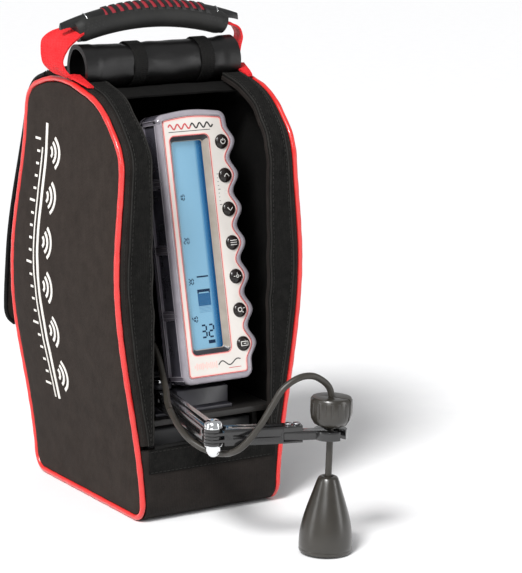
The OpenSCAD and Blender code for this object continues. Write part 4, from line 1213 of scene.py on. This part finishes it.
def webbing(side, name):
    """Webbing strap from the grip's end round to the roof seam, between its back and front edges."""
    steps, cols = 44, 16
    back, front = [smooth_line(edge, 0.5) for edge in WEBBING_EDGES[name]]
    rails = []
    for rail in (back, front):
        share, even = np.linspace(0, 1, len(rail)), np.linspace(0, 1, steps)
        rails.append(np.stack([np.interp(even, share, rail[:, c]) for c in range(3)], axis=1))
    middle = np.zeros((steps, cols, 3))
    for j in range(cols):
        middle[:, j] = lerp(rails[1], rails[0], j / (cols - 1))
    along, across = np.gradient(middle, axis=0), np.gradient(middle, axis=1)
    normal = np.cross(across, along)
    normal /= np.linalg.norm(normal, axis=2)[:, :, None]
    outer, inner = middle.copy(), middle.copy()
    for i in range(steps):
        pinch = float(ease((i / (steps - 1) - 0.55) / 0.45))
        for j in range(cols):
            c = j / (cols - 1)
            ripple = 0.45 * wave_noise(*middle[i, j], 9) + 0.8 * pinch * math.sin(c * 9)
            thick = 1.1 * (0.75 + 0.25 * math.sin(math.pi * c))
            outer[i, j] += normal[i, j] * (ripple + thick)
            inner[i, j] += normal[i, j] * (ripple - thick)
    strap = put(slab("webbing_" + name, outer, inner, WEBBING, 60), "handle", "red_webbing")
    roof = smooth_line([(73.5, -12, 339.6), (72.6, -20, 337.4), (71.8, -28, 335.2), (70.6, -35, 333.0)],
                       1.6)
    rings = []
    for k, p in enumerate(roof):
        wide = lerp(5.5, 2.4, k / (len(roof) - 1))
        rings.append([(side * (p[0] + sx * wide), p[1], p[2] + sz + 0.25 * sx)
                      for sx, sz in ((-1, 0), (1, 0), (1, 1.6), (0, 2.1), (-1, 1.6))])
    put(loft("webbing_tab_" + name, rings, WEBBING, smooth=50), "bag", "red_webbing")
    return strap


def make_bag():
    side_panel(-1, "bag_side_left", "bag_left_panel")
    side_panel(1, "bag_side_right", "bag_right_panel")
    gusset_band()
    left = front_edge(-1, "left", "bag_front_left_strip")
    front_edge(1, "right", "bag_front_right_strip")
    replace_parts(left, "hook_and_loop_strips")
    lip_band()
    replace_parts(piping(-1, "piping_left"), "side_pipings")
    piping(1, "piping_right")
    panel_print()
    cover_roll()
    roof_facing()
    ties = [roll_tie(k, x) for k, x in enumerate(TIE_X)]
    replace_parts(ties[0], "roll_ties")
    rear_flap()
    grip()
    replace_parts(webbing(-1, "left"), "handle_webbing")
    webbing(1, "right")


# ---- Display ----

LABEL_T, WINDOW_SLOPE, FRAME_LOW = 0.6, 4, -5.2
CROWN, CORNER = 2.2, 2.5


def face_outline(g, dent=0.0):
    """Outline of the face grown by g, with the battery-side wall pushed in by dent at its bays."""
    low = FIRST_BUTTON_V - BUTTON_PITCH / 2
    high = FIRST_BUTTON_V + 6.5 * BUTTON_PITCH

    def arc(u, v, start, stop, n=7):
        turns = [math.radians(lerp(start, stop, k / n)) for k in range(n + 1)]
        return [(u + (CORNER + g) * math.cos(a), v + (CORNER + g) * math.sin(a)) for a in turns]

    points = arc(CORNER, CORNER, 180, 270) + arc(LABEL_W - CORNER, CORNER, 270, 360)
    count = 7 * 20
    for k in range(count + 1):
        v = lerp(low, high, k / count)
        points.append((SCALLOP_MID + g - SCALLOP_DEPTH * math.cos(2 * math.pi * k / 20), v))
    points += arc(LABEL_W - CORNER, LABEL_H - CORNER, 0, 80)
    for k in range(1, 16):
        u = lerp(LABEL_W - CORNER, CORNER, k / 16)
        points.append((u, LABEL_H + g + CROWN * math.sin(math.pi * k / 16)))
    points += arc(CORNER, LABEL_H - CORNER, 100, 180)
    for k in reversed(range(BAY_COUNT)):
        v0 = 1 + k * BAY_PITCH + 1.5
        v1 = v0 + BAY_H - 3
        points += [(-g, v1 + 0.8), (-g + dent, v1), (-g + dent, v0), (-g, v0 - 0.8)]
    return points


def on_face(points):
    """Points given as across, up and out of the display's face, moved to the display's place."""
    lean = math.radians(DISPLAY_LEAN)
    u, v, w = np.array(points, float).T
    return np.stack([DISPLAY_POS[0] + u,
                     DISPLAY_POS[1] + v * math.sin(lean) - w * math.cos(lean),
                     DISPLAY_POS[2] + v * math.cos(lean) + w * math.sin(lean)], axis=1)


def face_point(place):
    """A place in the scene as across, up and out of the display's face."""
    return (display_matrix().inverted() @ place) / MM


def outline_loft(name, profile, material, smooth=35):
    """A ring that follows the face's outline, from a closed profile of [growth, out, dent]."""
    rings = []
    for g, w, dent in profile:
        rings.append(on_face([(u, v, w) for u, v in face_outline(g, dent)]))
    return loft(name, rings, material, wrap=True, smooth=smooth)


def window_outline(d, corner):
    (u0, v0), (u1, v1) = WINDOW_LO, WINDOW_HI
    return rounded([(u0 + d, v0 + d, corner), (u0 + d, v1 - d, corner), (u1 - d, v1 - d, corner),
                    (u1 - d, v0 + d, corner)], 8)


def window_loft(name, profile, material, smooth=35):
    rings = []
    for d, w, corner in profile:
        rings.append(on_face([(u, v, w) for u, v in window_outline(d, corner)]))
    return loft(name, rings, material, wrap=True, smooth=smooth)


def face_line(points, width, material, low=0.0, high=0.1, closed=False):
    """A printed line on the face through [across, up] points."""
    line = np.array(points, float)
    if closed:
        ahead = np.roll(line, -1, axis=0) - np.roll(line, 1, axis=0)
    else:
        ahead = np.gradient(line, axis=0)
    ahead /= np.linalg.norm(ahead, axis=1)[:, None]
    rings = []
    for (u, v), (tu, tv) in zip(line, ahead):
        ring = []
        for s, w in ((-1, low), (-1, high), (1, high), (1, low)):
            ring.append((u - tv * s * width / 2, v + tu * s * width / 2, w))
        rings.append(on_face(ring))
    return loft("line", rings, material, wrap=closed)


def bar(u0, v0, u1, v1, material, low=0.0, high=0.1):
    """A printed block on the face."""
    return face_line([(u0, (v0 + v1) / 2), (u1, (v0 + v1) / 2)], v1 - v0, material, low, high)


def housing():
    """Smoky bevelled shell; its front rim and side ribs are a lighter copy of its plastic as painted
    highlight, and the four bays along its left wall a darker copy as painted shade.
    """
    profile = [(RIM - 0.4, SEAM_W, 0), (RIM, SEAM_W + 0.6, 0), (RIM, SEAM_W + 3.4, 0),
               (RIM, SEAM_W + 4.2, 1.2), (RIM, -5.2, 1.2), (RIM, -4.4, 0), (RIM, -2.2, 0),
               (RIM - 0.4, -0.9, 0), (RIM - 1.2, -0.1, 0),
               (RIM - 2.3, 0.4, 0), (RIM - 3.4, 0.55, 0), (1.0, 0.5, 0), (0.45, 0.25, 0), (0.25, -0.1, 0),
               (0.22, -LABEL_T - 0.05, 0), (-2, -LABEL_T - 0.05, 0), (-2, -3, 0), (RIM - 2.5, -3, 0),
               (RIM - 2.5, SEAM_W, 0)]
    shell = outline_loft("housing_shell", profile, HOUSING)
    # Front rim faces in the lighter copy: painted highlight.
    repaint(shell, HOUSING_PAINTED_HIGHLIGHT, lambda f: face_point(f.center).z > -1.7)
    # Faces inside the bays in the darker copy: painted shade.
    shaded_bay_u = -RIM + 0.75
    repaint(shell, HOUSING_PAINTED_SHADE, lambda f: (
        shaded_bay_u < face_point(f.center).x < 0 and SEAM_W + 3 < face_point(f.center).z < -4))
    put(shell, "display", "housing", "display_front_shell")

    # Ribs in the lighter copy: painted highlight on the ridges of the left wall.
    ribs = []
    for k in range(BAY_COUNT + 1):
        v = 1 + k * BAY_PITCH - (BAY_PITCH - BAY_H) / 2
        v = min(max(v, 0.5), LABEL_H - 1)
        for side in (-1.6, 1.6):
            ring = []
            for w in np.linspace(SEAM_W + 1, -1.5, 14):
                ring.append((-RIM - 0.1, v + side, w))
            ribs.append(tube("rib", on_face(ring), 0.42, HOUSING_PAINTED_HIGHLIGHT, sides=8))
    for w in (SEAM_W + 2.4, -3.2):
        line = on_face([(-RIM - 0.05, v, w) for v in np.linspace(2, LABEL_H - 2, 40)])
        ribs.append(tube("rib", line, 0.5, HOUSING_PAINTED_HIGHLIGHT, sides=8))
    put(joined("housing_ribs", ribs), "display", "housing")

    frame_ring = window_loft("window_frame", [
        (-1.2, -LABEL_T - 0.05, 5), (0.1, -LABEL_T - 0.05, 4), (0.5, -0.9, 3.8),
        (WINDOW_SLOPE - 0.5, -4.4, 2.2), (WINDOW_SLOPE, FRAME_LOW + 0.1, 2),
        (WINDOW_SLOPE, FRAME_LOW, 2), (-1.2, FRAME_LOW, 5)], WINDOW_WALL)
    # Top and bottom walls of the window in the darker grey plastic: painted shade, as the frame walls are
    # one material.
    low, high = WINDOW_LO[1] + WINDOW_SLOPE * 0.9, WINDOW_HI[1] - WINDOW_SLOPE * 0.9
    repaint(frame_ring, GREY_PLASTIC, lambda f: not low < face_point(f.center).y < high)
    put(frame_ring, "display", "housing")
    put(label_film(), "display", "label", "face_label")


def label_film():
    """Printed face: the outline between the edge and the window, bridged by one strip of faces."""
    outer = np.array(resampled(face_outline(0), 1.3, True))
    inner = np.array(resampled(window_outline(0, 4), 1.3, True))
    work = bmesh.new()
    loops = []
    for ring in (outer, inner):
        verts = [work.verts.new(p) for p in on_face([(u, v, 0) for u, v in ring]) * MM]
        loops.append([work.edges.new((verts[k], verts[(k + 1) % len(verts)])) for k in range(len(verts))])
    bmesh.ops.triangle_fill(work, edges=loops[0] + loops[1], use_beauty=True)
    top = list(work.faces)
    out = on_face([(0, 0, 1)])[0] - on_face([(0, 0, 0)])[0]
    for face in top:
        face.normal_update()
        if face.normal.dot(Vector(out)) < 0:
            face.normal_flip()
    grown = bmesh.ops.extrude_face_region(work, geom=top)
    moved = [g for g in grown["geom"] if isinstance(g, bmesh.types.BMVert)]
    bmesh.ops.translate(work, verts=moved, vec=Vector(out) * -LABEL_T * MM)
    bmesh.ops.recalc_face_normals(work, faces=work.faces)
    mesh = bpy.data.meshes.new("label_film")
    work.to_mesh(mesh)
    work.free()
    mesh.materials.append(LABEL)
    obj = bpy.data.objects.new("label_film", mesh)
    bpy.context.scene.collection.objects.link(obj)
    return obj


def label_print():
    """Coloured borders, a plain wave title, a row of blocks with a curve, and a scale by the keys."""
    edge = [np.array(resampled(face_outline(-g), 1.2, True)) for g in (0.55, 1.3)]
    window = [np.array(resampled(window_outline(-g, 4 + g), 1.2, True)) for g in (0.35, 1.05)]
    parts = [face_line(edge[0], 0.75, PRINT_RED, closed=True),
             face_line(edge[1], 0.8, PRINT_PINK, closed=True),
             face_line(window[0], 0.65, PRINT_RED, closed=True),
             face_line(window[1], 0.75, PRINT_PINK, closed=True)]
    for k, red in enumerate((True, True, True, False, False, False)):
        start = 5 + k * 6.6
        mark = [(start + 6.6 * t, 195.5 + 1.9 * math.sin(2 * math.pi * t)) for t in np.linspace(0, 1, 14)]
        parts.append(face_line(mark, 1.25, PRINT_RED if red else PRINT_BLACK))
    parts.append(bar(5, 191.4, 42, 191.9, PRINT_BLACK))
    for k in range(12):
        tall = 2.2 + 3.4 * abs(math.sin(k * 1.3))
        parts.append(bar(5.5 + k * 1.75, 8.6 - tall / 2, 6.5 + k * 1.75, 8.6 + tall / 2, PRINT_PINK))
    curve = [(lerp(27, 47, t), 8 + 2.6 * math.sin(t * 9) * (1 - 0.5 * t) + 2 * t)
             for t in np.linspace(0, 1, 26)]
    parts.append(face_line(curve, 0.9, PRINT_BLACK))
    parts.append(bar(36, 4.4, 47, 4.9, PRINT_RED))
    for k in range(9):
        parts.append(bar(43.6, 132 + k * 3, 44.5 if k % 4 else 45.6, 132.4 + k * 3, PRINT_BLACK))
    ring = [(50 + 1.5 * math.cos(a), 141.5 + 1.5 * math.sin(a))
            for a in np.linspace(0, 2 * math.pi, 20)[:-1]]
    parts.append(face_line(ring, 0.45, KEY_ICON, closed=True))
    put(joined("label_print", parts), "display")


SEGMENT_LOW, SEGMENT_HIGH = LCD_W + 0.02, LCD_W + 0.07
SEVEN = {"0": "abcdef", "1": "bc", "2": "abged", "3": "abgcd", "4": "fgbc"}


def digit(char, u, v, wide, tall, thick, material):
    """One seven-segment digit with its lower left corner at u, v."""
    half = tall / 2
    gap = thick * 0.45
    spans = {
        "a": ((u + gap, v + tall), (u + wide - gap, v + tall)),
        "b": ((u + wide, v + half + gap), (u + wide, v + tall - gap)),
        "c": ((u + wide, v + gap), (u + wide, v + half - gap)),
        "d": ((u + gap, v), (u + wide - gap, v)),
        "e": ((u, v + gap), (u, v + half - gap)),
        "f": ((u, v + half + gap), (u, v + tall - gap)),
        "g": ((u + gap, v + half), (u + wide - gap, v + half))}
    return [face_line(spans[s], thick, material, SEGMENT_LOW, SEGMENT_HIGH) for s in SEVEN[char]]


def screen():
    """The panel's scale, echoes and depth reading, and the display's inner and rear parts."""
    parts = []
    for number, v in (("10", 138.5), ("20", 104.5), ("30", 72.5), ("40", 43)):
        for k, char in enumerate(number):
            parts += digit(char, 11.7 + k * 2.7, v, 1.7, 4.2, 0.8, SEGMENT)
    for k, char in enumerate("32"):
        parts += digit(char, 18.7 + k * 6.5, 30.4, 4.3, 9.4, 1.35, SEGMENT)
    dark = [(19.4, 77.3, 29.6, 78.5), (24, 25.2, 30, 27.9), (18.5, 65.8, 29.8, 68), (18.5, 64.9, 19.7, 65.8),
            (28.6, 64.9, 29.8, 65.8)]
    pale = [(18.5, 55, 29.8, 64.8)] + [(18.8, 54.2 - k * 1.05, 29.6, 54.4 - k * 1.05) for k in range(5)]
    for blocks, material in ((dark, SEGMENT), (pale, SEGMENT_MID)):
        parts += [bar(*block, material, SEGMENT_LOW, SEGMENT_HIGH) for block in blocks]
    put(joined("screen_content", parts), "display", "lcd")
    for node, material, slot in (("window_lens", LENS, "lens"), ("lcd_panel", LCD, "lcd"),
                                 ("backlight_panel", DIFFUSER, "backlight")):
        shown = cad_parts[node]
        shown.data.materials.clear()
        shown.data.materials.append(material)
    for node, material, slot, width in (("display_rear_cover", HOUSING, "housing", 0.8),
                                        ("display_gasket", GASKET, "gasket", 0.15),
                                        ("circuit_board", BOARD, "board", 0.15),
                                        ("key_switches", BLACK_PLASTIC, "black_plastic", 0.2),
                                        ("housing_screws", STEEL, "steel", 0.25),
                                        ("display_socket", BLACK_PLASTIC, "black_plastic", 0.3)):
        eased(node, width, material, "display", slot)


def arc_points(r, start, stop, n=12, at=(0, 0)):
    turns = [math.radians(lerp(start, stop, k / n)) for k in range(n + 1)]
    return [(at[0] + r * math.cos(a), at[1] + r * math.sin(a)) for a in turns]


KEY_ICONS = [
    [[(-2.6, -1.4), (-2.6, 1.4), (2.6, 1.4), (2.6, -1.4), (-2.6, -1.4)], [(-0.9, 0), (0.9, 0)]],
    [arc_points(1.4, 0, 350, 14, (-0.9, 0.2)), [(0.3, -0.9), (1.9, -1.9)], [(1.6, 1.1), (3.2, 1.1)]],
    [arc_points(0.9, 0, 350, 12), [(-2.8, 0), (-1.7, 0)], [(1.7, 0), (2.8, 0)], [(0, 1.6), (0, 2.4)]],
    [[(-2.5, 1.5), (2.5, 1.5)], [(-2.5, 0), (2.5, 0)], [(-2.5, -1.5), (2.5, -1.5)]],
    [[(-2, 1), (0, -1.2), (2, 1)]],
    [[(-2, -1), (0, 1.2), (2, -1)]],
    [arc_points(1.7, 120, 420, 16), [(0, 0.4), (0, 2.2)]],
]


KEY_DOME = [(0, 2.6), (1.4, 2.55), (2.8, 2.36), (4, 2.0), (4.9, 1.5)]


def key(i):
    """Rubber key with a domed top and a plain pictogram."""
    v = FIRST_BUTTON_V + (i - 1) * BUTTON_PITCH
    place = display_matrix() @ Matrix.Translation(Vector((BUTTON_U, v, 0)) * MM)
    dome = KEY_DOME + [
        (5.5, 0.9), (5.85, 0.2), (BUTTON_R, -0.7), (BUTTON_R, -3.35), (BUTTON_R + 1.2, -3.4),
        (BUTTON_R + 1.2, -4.4), (2, -4.4), (2, -8.0), (0, -8.0)]
    top = lathe("key_%d_dome" % i, dome, KEY, place)
    put(top, "key_%d" % i, "key_rubber", "button_%d" % i)
    marks = []
    for stroke in KEY_ICONS[i - 1]:
        points = [(BUTTON_U + a * 1.15, v + b * 1.15) for a, b in resampled(stroke, 0.35)]
        mark = face_line(points, 0.62, KEY_ICON, 0, 0.08)
        for vertex in mark.data.vertices:
            u, up, w = face_point(vertex.co)
            far = math.hypot(u - BUTTON_U, up - v)
            height = np.interp(far, *zip(*KEY_DOME)) + w
            vertex.co = Vector(on_face([(u, up, height)])[0]) * MM
        marks.append(mark)
    put(joined("key_%d_icon" % i, marks), "key_%d" % i)


def make_display():
    housing()
    label_print()
    screen()
    for i in range(1, 8):
        key(i)


# ---- Deck, arm and transducer ----

EASED = [
    ("deck_tray", 0.6, TRAY, "bag", "tray"), ("battery", 2.0, BATTERY, "bag", "battery_case"),
    ("junction_box", 0.8, BLACK_PLASTIC, "bag", "black_plastic"),
    ("tilt_bracket", 0.7, GREY_PLASTIC, "bag", "grey_plastic"),
    ("cable_clip", 0.4, BLACK_PLASTIC, "bag", "black_plastic"),
    ("arm_base_mount", 0.8, GREY_PLASTIC, "bag", "grey_plastic"),
    ("arm_base_bolt", 0.4, CHROME, "bag", "bright_metal"),
    ("tilt_knob", 0.4, BLACK_PLASTIC, "tilt_knob_body", "black_plastic"),
    ("tilt_bolt", 0.3, STEEL, "tilt_knob_body", "steel"),
    ("arm_inner_link", 0.5, ARM, "arm_inner", "arm_plastic"),
    ("elbow_bolt", 0.5, CHROME, "arm_inner", "bright_metal"),
    ("elbow_nut", 0.4, CHROME, "arm_inner", "bright_metal"),
    ("arm_outer_link", 0.5, ARM, "arm_outer", "arm_plastic"),
    ("arm_fork", 0.4, ARM, "arm_outer", "arm_plastic"),
    ("fork_screws", 0.25, STEEL, "arm_outer", "steel"),
    ("cable_stopper", 0.45, BODY, "transducer", "transducer_body"),
]


def transducer():
    """Bell-shaped body with a base ring and a collar round its cable."""
    place = transducer_place()
    low = [(13.95, 3.1), (14.1, 0.5), (14.6, 0.05), (18.6, 0.05), (19.5, 0.4), (19.85, 1.2), (19.9, 2.6),
           (19.75, 3.0), (19.75, 3.4), (19.95, 3.8)]
    flank = [(20.0, 6), (19.97, 9), (19.8, 12), (19.45, 15.5), (18.9, 19), (18.1, 23), (17.05, 27.2),
             (15.8, 31.5), (14.4, 36), (12.9, 40.5), (11.4, 45), (9.9, 49.6), (8.55, 53.6),
             (7.75, 55.6), (7.3, 56.4),
             (6.8, 57.0), (5.9, 57.5), (4.6, 57.6), (3.9, 57.3), (3.2, 56.5), (3.1, 55.6), (0, 55.5)]
    shell = lathe("transducer_body_piece", [(0, 3.1)] + low + flank, BODY, place, n=96)
    put(shell, "transducer", "transducer_body", "transducer_shell")
    disc = [(0, 0.0), (12.6, 0.0), (13.5, 0.3), (13.85, 0.9), (13.9, 2.95), (0, 2.95)]
    puck = lathe("transducer_face", disc, CRYSTAL, place, n=72)
    put(puck, "transducer", "crystal_face", "transducer_crystal")


def battery_leads():
    """The two battery wires as eased copies of the CAD ones, one red and one black."""
    wires = eased("battery_leads", 0.1, WIRE_RED, "bag", "lead_wire")

    def black(face):
        x, y, z = face.center / MM
        return y < 0 or (y < 47 and z > 60 and x < 57.8)

    repaint(wires, BLACK_PLASTIC, black)


def make_hardware():
    for node, width, material, body, slot in EASED:
        eased(node, width, material, body, slot)
    battery_leads()
    transducer()


make_camera()
make_studio()
make_cords()
make_bag()
make_display()
make_hardware()
